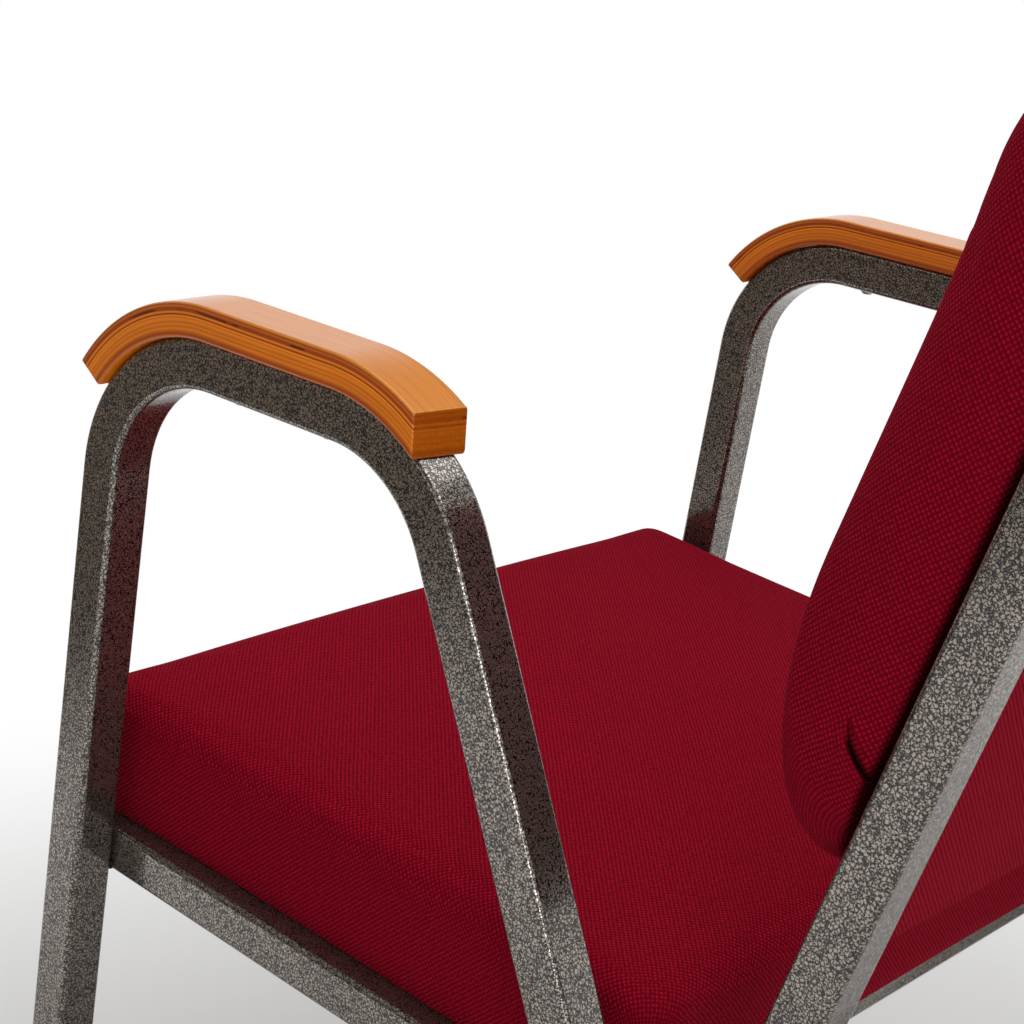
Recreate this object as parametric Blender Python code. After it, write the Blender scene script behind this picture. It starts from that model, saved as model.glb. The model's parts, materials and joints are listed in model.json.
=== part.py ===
"""Church armchair with an upholstered seat and back.

Two side frames, each one bent square tube, stand on plastic glides and carry
bent-plywood armrests. A hoop of the same tube forms the seat rails and the back
uprights between them. Metres, +Z up; the sitter faces -Y, and +X is their left.
"""
import math

import bmesh
import bpy
from mathutils import Matrix, Vector

# Square steel tube, and the clearance that neighbouring pieces keep
TUBE = 0.0250
TUBE_CORNER = 0.0025
FIT = 0.0003

# Side frame: front leg, arm and rear leg in one tube, sized on its outer lines
ARM_HEIGHT = 0.6898
ARM_LENGTH = 0.222
ARM_SLOPE = math.radians(3.2)
ARM_BEND = 0.0762
FRONT_LEAN = math.radians(6.8)
REAR_LEAN = math.radians(23.0)

# Armrest of bent plywood, wrapped over both bends of the arm
REST_OVERHANG = 0.0038
REST_THICKNESS = 0.0171
REST_EDGE = 0.0016
REST_FRONT_WRAP = math.radians(56.5)
REST_REAR_WRAP = math.radians(34.0)

# Armrest screws, driven up through the arm tube, and other pan-head screws
REST_SCREW_INSET = 0.012
REST_SCREW_BITE = 0.011
SCREW_SHANK = 0.0042
SCREW_HEAD = 0.0085
SCREW_HEAD_HEIGHT = 0.003

# Glide: a foot under the leg and a stem pressed up into it
GLIDE_FOOT = 0.007
GLIDE_BEVEL = 0.0015
GLIDE_STEM = 0.018
GLIDE_STEM_LENGTH = 0.022

# Seat: its top plane is held by its front edge, and its rails lie below it
SEAT_HEIGHT = 0.4725
SEAT_SLOPE = math.radians(5.4)
SEAT_WIDTH = 0.490
SEAT_DEPTH = 0.399
SEAT_THICKNESS = 0.070
SEAT_OVERHANG = 0.023
SEAT_REVEAL = 0.0105
SEAT_REAR_GAP = 0.0031
SEAT_CROWN = 0.008
SEAT_EDGE = 0.010
SEAT_FRONT_ROLL = 0.014
SEAT_FRONT_CORNER = 0.032
SEAT_REAR_CORNER = 0.022
SEAT_DRAW_IN = 0.003
REAR_RAIL_SETBACK = 0.020

# Seat board, its dust cover, and its bolts into tee nuts
SEAT_BOARD = 0.012
SEAT_BOARD_INSET = 0.006
DUST_COVER = 0.001
BOLT_INSET = 0.080
BOLT_SHANK = 0.006
BOLT_HEAD = 0.012
BOLT_HEAD_HEIGHT = 0.004
NUT_BARREL = 0.009
NUT_FLANGE = 0.019
NUT_FLANGE_HEIGHT = 0.0015

# Back: the hoop's recline, height and bends
BACK_HEIGHT = 0.890
BACK_RECLINE = math.radians(18.1)
SEAT_BEND = 0.0508
TOP_BEND = 0.0635

# Back cushion and its board, in front of the hoop
BACK_PAD = 0.067
BACK_PAD_GAP = 0.003
BACK_PAD_INSET = 0.006
BACK_PAD_RISE = 0.0955
BACK_PAD_CROWN = 0.010
BACK_PAD_TUCK = 0.010
BACK_SIDE_ROLL = 0.022
BACK_TOP_ROLL = 0.060
BACK_LOWER_ROLL = 0.118
BACK_LOWER_CORNER = 0.034
BACK_DRAW_IN = 0.004
BACK_BOARD = 0.010
BACK_BOARD_INSET = 0.007

# Back braces inside the hoop, their screws, and the clipped rear panel
BRACE_WIDTH = 0.0254
BRACE_DEPTH = 0.0127
BRACE_WALL = 0.003
BRACE_INSET = 0.070
BACK_SCREW_INSET = 0.080
BACK_SCREW_BITE = 0.007
REAR_PANEL = 0.010
REAR_PANEL_GAP = 0.0008
REAR_PANEL_DROP = 0.020
REAR_PANEL_CORNER = 0.012
CLIP = 0.006
CLIP_INSET = 0.030
CLIP_PANEL_BITE = 0.005
CLIP_BRACE_BITE = 0.008

# Facets
BEND_STEPS = 10
SECTION_STEPS = 2
ROUND_SIDES = 12
CORNER_STEPS = 5
EDGE_STEPS = 6
ROLL_STEPS = 5
CROWN_RINGS = (0.88, 0.72, 0.52, 0.30, 0.10)

X_AXIS = Vector((1.0, 0.0, 0.0))
Y_AXIS = Vector((0.0, 1.0, 0.0))
Z_AXIS = Vector((0.0, 0.0, 1.0))
HALF_TUBE = TUBE / 2
SIDES = {"left": X_AXIS, "right": -X_AXIS}


def linear(hex_colour):
    """Linear colour of an sRGB hex value."""
    channels = [int(hex_colour[i:i + 2], 16) / 255 for i in (0, 2, 4)]
    return [c / 12.92 if c <= 0.04045 else ((c + 0.055) / 1.055) ** 2.4 for c in channels] + [1.0]


def finish(name, hex_colour, roughness, metallic=0.0):
    """Principled material for one finish."""
    made = bpy.data.materials.new(name)
    made.use_nodes = True
    shader = made.node_tree.nodes["Principled BSDF"]
    shader.inputs["Base Color"].default_value = linear(hex_colour)
    shader.inputs["Roughness"].default_value = roughness
    shader.inputs["Metallic"].default_value = metallic
    made.diffuse_color = linear(hex_colour)
    return made


def axes_empty(name, matrix, parent=None):
    """Empty that pieces are placed on."""
    axes = bpy.data.objects.new(name, None)
    bpy.context.scene.collection.objects.link(axes)
    axes.parent = parent
    axes.location = matrix.to_translation()
    axes.rotation_euler = matrix.to_euler()
    return axes


def solid(name, stacks, coat, parent, cuts=()):
    """Object of closed bodies, each a stack of rings: capped, or joined where it ends as it starts."""
    shape = bmesh.new()
    for rings in stacks:
        closed = rings[-1] is rings[0]
        loops = [[shape.verts.new(point) for point in ring] for ring in (rings[:-1] if closed else rings)]
        for low, high in zip(loops, loops[1:] + loops[:1] if closed else loops[1:]):
            for i, corner in enumerate(low):
                j = (i + 1) % len(low)
                shape.faces.new((corner, low[j], high[j], high[i]))
        if not closed:
            shape.faces.new(reversed(loops[0]))
            shape.faces.new(loops[-1])
    bmesh.ops.recalc_face_normals(shape, faces=shape.faces)
    mesh = bpy.data.meshes.new(name)
    shape.to_mesh(mesh)
    shape.free()
    mesh.shade_smooth()
    mesh.set_sharp_from_angle(angle=math.radians(30))
    piece = bpy.data.objects.new(name, mesh)
    bpy.context.scene.collection.objects.link(piece)
    piece.parent = parent
    if coat:
        mesh.materials.append(coat)
    for guide in cuts:
        cut = piece.modifiers.new(guide.name, "BOOLEAN")
        cut.object = guide
    return piece


def cutter(name, stacks, parent):
    """Guide body that pieces are cut by."""
    guide = solid(name, stacks, None, parent)
    guide.hide_render = True
    guide.display_type = "WIRE"
    return guide


def rounded(low, high, radii, edge_steps=1):
    """Outline between two corners; radii run anticlockwise from the low corner."""
    corners = (low, (high[0], low[1]), high, (low[0], high[1]))
    inward = ((1, 1), (-1, 1), (-1, -1), (1, -1))
    points = []
    for index, (corner, sign, radius) in enumerate(zip(corners, inward, radii)):
        for step in range(CORNER_STEPS + 1):
            angle = math.pi + (index + step / CORNER_STEPS) * math.pi / 2
            points.append((corner[0] + radius * (sign[0] + math.cos(angle)),
                           corner[1] + radius * (sign[1] + math.sin(angle))))
    spaced = []
    for index, (a, b) in enumerate(points):
        spaced.append((a, b))
        if index % (CORNER_STEPS + 1) == CORNER_STEPS:
            c, d = points[(index + 1) % len(points)]
            shares = [step / edge_steps for step in range(1, edge_steps)]
            spaced += [(a + (c - a) * share, b + (d - b) * share) for share in shares]
    return spaced


def section(width, height, radius):
    """Rounded section of a tube, bar or stem about its centre."""
    points = []
    for quarter, (a, b) in enumerate(((1, 1), (-1, 1), (-1, -1), (1, -1))):
        for step in range(SECTION_STEPS + 1):
            angle = (quarter + step / SECTION_STEPS) * math.pi / 2
            points.append((a * (width / 2 - radius) + radius * math.cos(angle),
                           b * (height / 2 - radius) + radius * math.sin(angle)))
    return points


def flat(outline, height):
    """Ring of an outline lying at a height."""
    return [Vector((a, b, height)) for a, b in outline]


def standing(outline, depth):
    """Ring of an outline standing at a depth from front to rear."""
    return [Vector((a, depth, b)) for a, b in outline]


def moved(rings, shift):
    """Stack of rings, shifted."""
    return [[point + shift for point in ring] for ring in rings]


def bar(reach, y, z, width, height, radius):
    """Stack of a straight bar along X, from -reach to +reach."""
    outline = section(width, height, radius)
    return [[Vector((x, y + a, z + b)) for a, b in outline] for x in (-reach, reach)]


def turned(centre, axis, profile):
    """Stack of rings round an axis; profile holds (distance along, diameter)."""
    across = axis.orthogonal().normalized()
    beside = axis.cross(across)
    rings = []
    for along, diameter in profile:
        angles = [2 * math.pi * side / ROUND_SIDES for side in range(ROUND_SIDES)]
        spokes = [across * math.cos(angle) + beside * math.sin(angle) for angle in angles]
        rings.append([centre + axis * along + spoke * (diameter / 2) for spoke in spokes])
    return rings


def pan_head(height, head, shank, reach):
    """Profile of a pan-head screw from its head, which ends at zero, to its tip."""
    return ((-height, head * 0.7), (-height / 2, head), (0.0, head), (0.0, shank), (reach, shank))


class Bend:
    """Arc that rounds the corner of a bent line."""

    def __init__(self, before, corner, after, radius):
        self.into = (corner - before).normalized()
        onward = (after - corner).normalized()
        self.turn = self.into.angle(onward)
        self.axis = self.into.cross(onward).normalized()
        self.inward = self.axis.cross(self.into)
        self.radius = radius
        self.centre = corner - self.into * radius * math.tan(self.turn / 2) + self.inward * radius

    def stations(self, first=0.0, last=None, lift=0.0):
        """(point, direction) along the arc between two angles, lifted off its outer side."""
        last = self.turn if last is None else last
        found = []
        for step in range(BEND_STEPS + 1):
            swing = Matrix.Rotation(first + (last - first) * step / BEND_STEPS, 3, self.axis)
            found.append((self.centre - swing @ self.inward * (self.radius + lift), swing @ self.into))
        return found


def bent(corners, radii):
    """Stations along straights joined by bends."""
    stations = [(corners[0], (corners[1] - corners[0]).normalized())]
    for before, corner, after, radius in zip(corners, corners[1:], corners[2:], radii):
        stations += Bend(before, corner, after, radius).stations()
    stations.append((corners[-1], (corners[-1] - corners[-2]).normalized()))
    return stations


def swept(stations, outline):
    """Rings of an outline carried along stations, its first axis starting on X."""
    rings = []
    across = X_AXIS
    heading = stations[0][1]
    for point, direction in stations:
        across = heading.rotation_difference(direction) @ across
        heading = direction
        rise = direction.cross(across)
        rings.append([point + across * a + rise * b for a, b in outline])
    return rings


def slid_to_plane(ring, direction, point, normal):
    """Ring slid along a direction on to a plane."""
    return [p + direction * ((point - p).dot(normal) / direction.dot(normal)) for p in ring]


def inner_corner(before, corner, after, depth):
    """Corner of a bent line drawn a depth inside another."""
    into = (corner - before).normalized()
    onward = (after - corner).normalized()
    return corner + (onward - into).normalized() * depth / math.cos(into.angle(onward) / 2)


class SidePlane:
    """Lines of a side frame in its own plane, from the tip of the front foot."""
    front_up = Vector((0, math.sin(FRONT_LEAN), math.cos(FRONT_LEAN)))
    arm_back = Vector((0, math.cos(ARM_SLOPE), -math.sin(ARM_SLOPE)))
    rear_up = Vector((0, -math.sin(REAR_LEAN), math.cos(REAR_LEAN)))
    toe = Vector((0, 0, 0))
    front_top = front_up * (ARM_HEIGHT / front_up.z)
    rear_top = front_top + arm_back * ARM_LENGTH
    heel = rear_top - rear_up * (rear_top.z / rear_up.z)
    front_corner = inner_corner(toe, front_top, rear_top, HALF_TUBE)
    rear_corner = inner_corner(front_top, rear_top, heel, HALF_TUBE)
    front_foot = front_corner - front_up * ((front_corner.z - GLIDE_FOOT) / front_up.z)
    rear_foot = rear_corner - rear_up * ((rear_corner.z - GLIDE_FOOT) / rear_up.z)
    corners = (front_foot, front_corner, rear_corner, rear_foot)
    front_bend = Bend(front_foot, front_corner, rear_corner, ARM_BEND)
    rear_bend = Bend(front_corner, rear_corner, rear_foot, ARM_BEND)
    legs = {"front": (front_foot, front_up), "rear": (rear_foot, rear_up)}


class SeatPlane:
    """Seat axes: x across, y along the slope to the rear, z square to the top."""
    front = Vector((0, SEAT_HEIGHT * math.tan(FRONT_LEAN) - SEAT_OVERHANG, SEAT_HEIGHT))
    axes = Matrix.Translation(front) @ Matrix.Rotation(-SEAT_SLOPE, 4, "X")
    rail_top = -SEAT_THICKNESS
    rail_middle = rail_top - HALF_TUBE
    rail_bottom = rail_top - TUBE
    rail_out = SEAT_WIDTH / 2 + SEAT_REVEAL
    rail_in = rail_out - TUBE
    rail_x = rail_out - HALF_TUBE
    frame_x = rail_out + FIT + HALF_TUBE
    leg = axes.inverted() @ SidePlane.front_corner
    leg_up = axes.to_3x3().inverted() @ SidePlane.front_up
    front_rail_y = (leg + leg_up * ((rail_middle - leg.z) / leg_up.z)).y
    rail_start = front_rail_y + HALF_TUBE + FIT
    bend_start = SEAT_DEPTH + SEAT_REAR_GAP
    bend_turn = math.pi / 2 - BACK_RECLINE + SEAT_SLOPE
    bend_corner = bend_start + SEAT_BEND * math.tan(bend_turn / 2)
    rear_rail_y = bend_start - REAR_RAIL_SETBACK - HALF_TUBE
    board_low = rail_top + FIT
    board_high = board_low + SEAT_BOARD


class BackPlane:
    """Back axes: x across, z up the hoop, y to the rear from the hoop's front face."""
    lean = math.pi / 2 - SeatPlane.bend_turn
    front_at_seat = (SeatPlane.bend_corner - SeatPlane.rail_middle * math.tan(lean)
                     - HALF_TUBE / math.cos(lean))
    foot = SeatPlane.axes @ Vector((0, front_at_seat, 0))
    axes = Matrix.Translation(foot) @ Matrix.Rotation(-BACK_RECLINE, 4, "X")
    top = (BACK_HEIGHT - foot.z) / math.cos(BACK_RECLINE)
    pad_x = SeatPlane.rail_out - BACK_PAD_INSET
    pad_high = top - BACK_PAD_INSET
    pad_top_corner = TOP_BEND + HALF_TUBE - BACK_PAD_INSET
    brace_z = (BACK_PAD_RISE + BRACE_INSET, top - TUBE - BRACE_INSET)
    panel_front = BRACE_DEPTH + FIT


def rest_screw_points():
    """Centres of the armrest screws on the underside of the arm, and the way that they point."""
    direction = SidePlane.arm_back
    up = X_AXIS.cross(direction)
    first = SidePlane.front_bend.stations()[-1][0] + direction * REST_SCREW_INSET
    last = SidePlane.rear_bend.stations()[0][0] - direction * REST_SCREW_INSET
    return [point - up * HALF_TUBE for point in (first, last)], up


def glide_rings(end, gap=0.0):
    """Stack of a glide: its bevelled foot, then its stem, which a gap widens and lengthens."""
    foot, along = SidePlane.legs[end]
    outline = section(TUBE, TUBE / along.z, TUBE_CORNER)
    sole = section(TUBE - 2 * GLIDE_BEVEL, TUBE / along.z - 2 * GLIDE_BEVEL, TUBE_CORNER)
    stem = GLIDE_STEM + 2 * gap
    neck = section(stem, stem / along.z, TUBE_CORNER)
    top = GLIDE_FOOT - FIT
    rings = [flat(sole, 0.0), flat(outline, GLIDE_BEVEL), flat(outline, top), flat(neck, top)]
    tip = along * (GLIDE_STEM_LENGTH + FIT + gap)
    rings.append([point + tip for point in rings[-1]])
    return moved(rings, Vector((0, foot.y, 0)))


def make_side_frames(chair, coat):
    """Side frames, socketed for the glides and drilled for the armrest screws."""
    stations = bent(SidePlane.corners, (ARM_BEND, ARM_BEND))
    rings = swept(stations, section(TUBE, TUBE, TUBE_CORNER))
    for end in (0, -1):
        rings[end] = slid_to_plane(rings[end], stations[end][1], stations[end][0], Z_AXIS)
    points, up = rest_screw_points()
    hole = SCREW_SHANK + 2 * FIT
    drill = ((-TUBE_CORNER, hole), (TUBE + FIT + REST_SCREW_BITE + FIT, hole))
    for side, outward in SIDES.items():
        shift = outward * SeatPlane.frame_x
        cuts = [cutter(f"socket_{end}_{side}", [moved(glide_rings(end, FIT)[-2:], shift)], chair)
                for end in SidePlane.legs]
        drills = [turned(point + shift, up, drill) for point in points]
        cuts.append(cutter(f"arm_drill_{side}", drills, chair))
        solid(f"side_frame_{side}", [moved(rings, shift)], coat, chair, cuts)


def make_armrests(chair, wood, steel):
    """Bent-plywood caps on the arms, and the screws that hold them."""
    lift = HALF_TUBE + FIT + REST_THICKNESS / 2
    front = SidePlane.front_bend
    stations = front.stations(front.turn - REST_FRONT_WRAP, front.turn, lift)
    stations += SidePlane.rear_bend.stations(0.0, REST_REAR_WRAP, lift)
    rings = swept(stations, section(TUBE + 2 * REST_OVERHANG, REST_THICKNESS, REST_EDGE))
    rings[-1] = slid_to_plane(rings[-1], stations[-1][1], stations[-1][0], Y_AXIS)
    points, up = rest_screw_points()
    reach = FIT + TUBE + FIT + REST_SCREW_BITE
    profile = pan_head(SCREW_HEAD_HEIGHT, SCREW_HEAD, SCREW_SHANK, reach)
    for side, outward in SIDES.items():
        shift = outward * SeatPlane.frame_x
        drill = bpy.data.objects[f"arm_drill_{side}"]
        solid(f"armrest_{side}", [moved(rings, shift)], wood, chair, [drill])
        for end, point in zip(SidePlane.legs, points):
            screw = turned(point + shift - up * FIT, up, profile)
            solid(f"armrest_screw_{end}_{side}", [screw], steel, chair)


def make_glides(chair, plastic):
    """Floor glides, one in each leg."""
    for end in SidePlane.legs:
        for side, outward in SIDES.items():
            rings = moved(glide_rings(end), outward * SeatPlane.frame_x)
            solid(f"glide_{end}_{side}", [rings], plastic, chair)


def make_hoop(chair, coat):
    """Seat rails and back uprights, bent from one tube with a top bar."""
    rail_end = SeatPlane.axes @ Vector((0, SeatPlane.rail_start, SeatPlane.rail_middle))
    seat_corner = SeatPlane.axes @ Vector((0, SeatPlane.bend_corner, SeatPlane.rail_middle))
    top_corner = BackPlane.axes @ Vector((0, HALF_TUBE, BackPlane.top - HALF_TUBE))
    left = [point + X_AXIS * SeatPlane.rail_x for point in (rail_end, seat_corner, top_corner)]
    right = [point - X_AXIS * SeatPlane.rail_x for point in (top_corner, seat_corner, rail_end)]
    stations = bent(left + right, (SEAT_BEND, TOP_BEND, TOP_BEND, SEAT_BEND))
    solid("seat_back_hoop", [swept(stations, section(TUBE, TUBE, TUBE_CORNER))], coat, chair)


def bolt_points():
    """Names and centres of the seat bolts on the undersides of the front and rear rails."""
    rails = {"front": SeatPlane.front_rail_y, "rear": SeatPlane.rear_rail_y}
    across = SeatPlane.rail_in - BOLT_INSET
    return {f"{end}_{side}": outward * across + Vector((0, y, SeatPlane.rail_bottom))
            for end, y in rails.items() for side, outward in SIDES.items()}


def make_seat_rails(seat, coat):
    """Rails across the front legs and between the side rails, drilled for the bolts."""
    hole = BOLT_SHANK + 2 * FIT
    drill = ((-TUBE_CORNER, hole), (TUBE + TUBE_CORNER, hole))
    drills = cutter("rail_drill", [turned(point, Z_AXIS, drill) for point in bolt_points().values()], seat)
    middle = SeatPlane.rail_middle
    reach = {"front": SeatPlane.rail_out, "rear": SeatPlane.rail_in - FIT}
    place = {"front": SeatPlane.front_rail_y, "rear": SeatPlane.rear_rail_y}
    for end in reach:
        rings = bar(reach[end], place[end], middle, TUBE, TUBE, TUBE_CORNER)
        solid(f"seat_{end}_rail", [rings], coat, seat, [drills])


def seat_outline(inset, edge_steps=1):
    """Plan of the seat, drawn inside its edge."""
    half = SEAT_WIDTH / 2 - inset
    radii = [SEAT_FRONT_CORNER - inset] * 2 + [SEAT_REAR_CORNER - inset] * 2
    return rounded((-half, inset), (half, SEAT_DEPTH - inset), radii, edge_steps)


def make_seat_board(seat, ply, steel, cloth):
    """Seat board with tee nuts let into it, its bolts, and the dust cover below."""
    flange_low = SeatPlane.board_high - NUT_FLANGE_HEIGHT
    bore = BOLT_SHANK + 2 * FIT
    pocket = NUT_BARREL + 2 * FIT
    recess = NUT_FLANGE + 2 * FIT
    reach = FIT + SeatPlane.board_high - SeatPlane.rail_bottom
    bolt = pan_head(BOLT_HEAD_HEIGHT, BOLT_HEAD, BOLT_SHANK, reach)
    pockets = []
    for name, point in bolt_points().items():
        centre = Vector((point.x, point.y, 0.0))
        nut = turned(centre, Z_AXIS, (
            (SeatPlane.board_low, bore), (SeatPlane.board_low, NUT_BARREL), (flange_low, NUT_BARREL),
            (flange_low, NUT_FLANGE), (SeatPlane.board_high, NUT_FLANGE), (SeatPlane.board_high, bore)))
        solid(f"seat_tee_nut_{name}", [nut + nut[:1]], steel, seat)
        solid(f"seat_bolt_{name}", [turned(point - Z_AXIS * FIT, Z_AXIS, bolt)], steel, seat)
        pockets.append(turned(centre, Z_AXIS, (
            (SeatPlane.rail_top - NUT_BARREL, pocket), (flange_low - FIT, pocket),
            (flange_low - FIT, recess), (SeatPlane.board_high + NUT_BARREL, recess))))
    outline = seat_outline(SEAT_BOARD_INSET)
    board = [flat(outline, SeatPlane.board_low), flat(outline, SeatPlane.board_high)]
    solid("seat_board", [board], ply, seat, [cutter("nut_pockets", pockets, seat)])
    half = SeatPlane.rail_in - FIT
    low = (-half, SeatPlane.rail_start)
    high = (half, SeatPlane.rear_rail_y - HALF_TUBE - FIT)
    cover = rounded(low, high, [TUBE_CORNER] * 4)
    rings = [flat(cover, SeatPlane.rail_top - DUST_COVER), flat(cover, SeatPlane.rail_top)]
    solid("seat_dust_cover", [rings], cloth, seat)


def squeezed(outline, low, high, side, first, last):
    """Outline pressed into its own box less a margin at both sides, its low end and its high end."""
    half = high[0]
    scale = (high[1] - low[1] - first - last) / (high[1] - low[1])
    return [(a * (half - side) / half, low[1] + first + (b - low[1]) * scale) for a, b in outline]


def drawn_in(outline, low, high, depth):
    """Outline whose sides pull in between its corners."""
    half = high[0]
    middle = (low[1] + high[1]) / 2
    reach = (high[1] - low[1]) / 2
    pulled = []
    for a, b in outline:
        across = a / half
        along = (b - middle) / reach
        pulled.append((a - depth * across * (1 - along ** 2), b - depth * along * (1 - across ** 2)))
    return pulled


def roll_angles():
    """Angles round a cushion's rolled edge, from its side to its face."""
    return [math.pi / 2 * step / ROLL_STEPS for step in range(ROLL_STEPS + 1)]


def crowned(outline):
    """Rings of (across, along, share of the crown) shrinking to the middle of a cushion's face."""
    half = max(a for a, b in outline)
    ends = [b for a, b in outline]
    middle = (min(ends) + max(ends)) / 2
    reach = (max(ends) - min(ends)) / 2
    rings = []
    for scale in CROWN_RINGS:
        ring = [(a * scale, (b - middle) * scale) for a, b in outline]
        rings.append([(a, middle + b, (1 - (a / half) ** 2) * (1 - (b / reach) ** 2)) for a, b in ring])
    return rings


def make_seat_cushion(seat, fabric):
    """Seat cushion over the edge of its board: drawn-in sides, rolled edges and a crown."""
    low = (-SEAT_WIDTH / 2, 0.0)
    high = (SEAT_WIDTH / 2, SEAT_DEPTH)
    plan = drawn_in(seat_outline(0.0, EDGE_STEPS), low, high, SEAT_DRAW_IN)
    tuck = squeezed(plan, low, high, SEAT_DRAW_IN, SEAT_DRAW_IN, SEAT_DRAW_IN)
    rings = [flat(tuck, SeatPlane.board_low), flat(plan, SeatPlane.board_high)]
    for angle in roll_angles():
        sunk = 1 - math.cos(angle)
        face = squeezed(plan, low, high, SEAT_EDGE * sunk, SEAT_FRONT_ROLL * sunk, SEAT_EDGE * sunk)
        rings.append(flat(face, SEAT_EDGE * (math.sin(angle) - 1)))
    rings += [[Vector((a, b, SEAT_CROWN * share)) for a, b, share in ring] for ring in crowned(face)]
    pocket = seat_outline(SEAT_BOARD_INSET - FIT)
    hollow = [flat(pocket, SeatPlane.rail_bottom), flat(pocket, SeatPlane.board_high + FIT)]
    solid("seat_cushion", [rings], fabric, seat, [cutter("seat_pocket", [hollow], seat)])


def pad_outline(inset, edge_steps=1):
    """Front outline of the back cushion, drawn inside its edge."""
    low = (-BackPlane.pad_x + inset, BACK_PAD_RISE + inset)
    high = (BackPlane.pad_x - inset, BackPlane.pad_high - inset)
    radii = [BACK_LOWER_CORNER - inset] * 2 + [BackPlane.pad_top_corner - inset] * 2
    return rounded(low, high, radii, edge_steps)


def make_back_cushion(back, fabric):
    """Back cushion over the edge of its board, with a deep roll along its lower edge."""
    low = (-BackPlane.pad_x, BACK_PAD_RISE)
    high = (BackPlane.pad_x, BackPlane.pad_high)
    plan = drawn_in(pad_outline(0.0, EDGE_STEPS), low, high, BACK_DRAW_IN)
    tuck = squeezed(plan, low, high, BACK_DRAW_IN, BACK_DRAW_IN, BACK_DRAW_IN)
    rings = [standing(tuck, -BACK_PAD_GAP)]
    for angle in roll_angles():
        sunk = 1 - math.cos(angle)
        depth = BACK_PAD_TUCK + (BACK_PAD - BACK_PAD_TUCK) * math.sin(angle)
        face = squeezed(plan, low, high, BACK_SIDE_ROLL * sunk, BACK_LOWER_ROLL * sunk, BACK_TOP_ROLL * sunk)
        rings.append(standing(face, -BACK_PAD_GAP - depth))
    front = -BACK_PAD_GAP - BACK_PAD
    for ring in crowned(face):
        rings.append([Vector((a, front - BACK_PAD_CROWN * share, b)) for a, b, share in ring])
    pocket = pad_outline(BACK_BOARD_INSET - FIT)
    hollow = [standing(pocket, HALF_TUBE), standing(pocket, -FIT - BACK_BOARD - FIT)]
    solid("back_cushion", [rings], fabric, back, [cutter("back_pocket", [hollow], back)])


def make_back_structure(back, coat, ply, fabric, steel, plastic):
    """Braces inside the hoop, the board screwed to them, and the rear panel clipped on behind."""
    braces = dict(zip(("lower", "upper"), BackPlane.brace_z))
    hole = SCREW_SHANK + 2 * FIT
    access = SCREW_HEAD + 2 * FIT
    bite = BRACE_WALL + FIT + FIT + BACK_SCREW_BITE
    screw = pan_head(SCREW_HEAD_HEIGHT, SCREW_HEAD, SCREW_SHANK, bite)
    drill = ((BRACE_WALL - BRACE_DEPTH - FIT, access), (FIT, access), (FIT, hole), (bite + FIT, hole))
    clip_front = BRACE_DEPTH - CLIP_BRACE_BITE
    clip_rear = BackPlane.panel_front + CLIP_PANEL_BITE
    clip_hole = CLIP + 2 * FIT
    clip_bore = ((clip_front - FIT, clip_hole), (clip_rear + FIT, clip_hole))
    drills, clip_holes = [], []
    for level, z in braces.items():
        for side, outward in SIDES.items():
            head = outward * (SeatPlane.rail_in - BACK_SCREW_INSET) + Vector((0, BRACE_WALL + FIT, z))
            solid(f"back_screw_{level}_{side}", [turned(head, -Y_AXIS, screw)], steel, back)
            drills.append(turned(head, -Y_AXIS, drill))
            spot = outward * (SeatPlane.rail_in - CLIP_INSET) + Vector((0, 0, z))
            clip = turned(spot, Y_AXIS, ((clip_front, CLIP), (clip_rear, CLIP)))
            solid(f"rear_panel_clip_{level}_{side}", [clip], plastic, back)
            clip_holes.append(turned(spot, Y_AXIS, clip_bore))
    screw_cut = cutter("back_drill", drills, back)
    clip_cut = cutter("clip_drill", clip_holes, back)
    for level, z in braces.items():
        rings = bar(SeatPlane.rail_in - FIT, BRACE_DEPTH / 2, z, BRACE_DEPTH, BRACE_WIDTH, TUBE_CORNER / 2)
        solid(f"back_{level}_brace", [rings], coat, back, [screw_cut, clip_cut])
    board = pad_outline(BACK_BOARD_INSET)
    solid("back_board", [[standing(board, -FIT), standing(board, -FIT - BACK_BOARD)]], ply, back, [screw_cut])
    half = SeatPlane.rail_in - REAR_PANEL_GAP
    low = (-half, BACK_PAD_RISE - REAR_PANEL_DROP)
    high = (half, BackPlane.top - TUBE - REAR_PANEL_GAP)
    upper = TOP_BEND - HALF_TUBE - REAR_PANEL_GAP
    panel = rounded(low, high, [REAR_PANEL_CORNER] * 2 + [upper] * 2)
    rings = [standing(panel, BackPlane.panel_front), standing(panel, BackPlane.panel_front + REAR_PANEL)]
    solid("back_rear_panel", [rings], fabric, back, [clip_cut])


def centre_on_floor(chair):
    """Move the chair so that the middle of its box from front to rear is at the origin."""
    bpy.context.view_layer.update()
    shapes = [piece for piece in bpy.data.objects if piece.type == "MESH" and not piece.hide_render]
    reach = [(piece.matrix_world @ vert.co).y for piece in shapes for vert in piece.data.vertices]
    chair.location.y -= (min(reach) + max(reach)) / 2
    bpy.context.view_layer.update()


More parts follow.
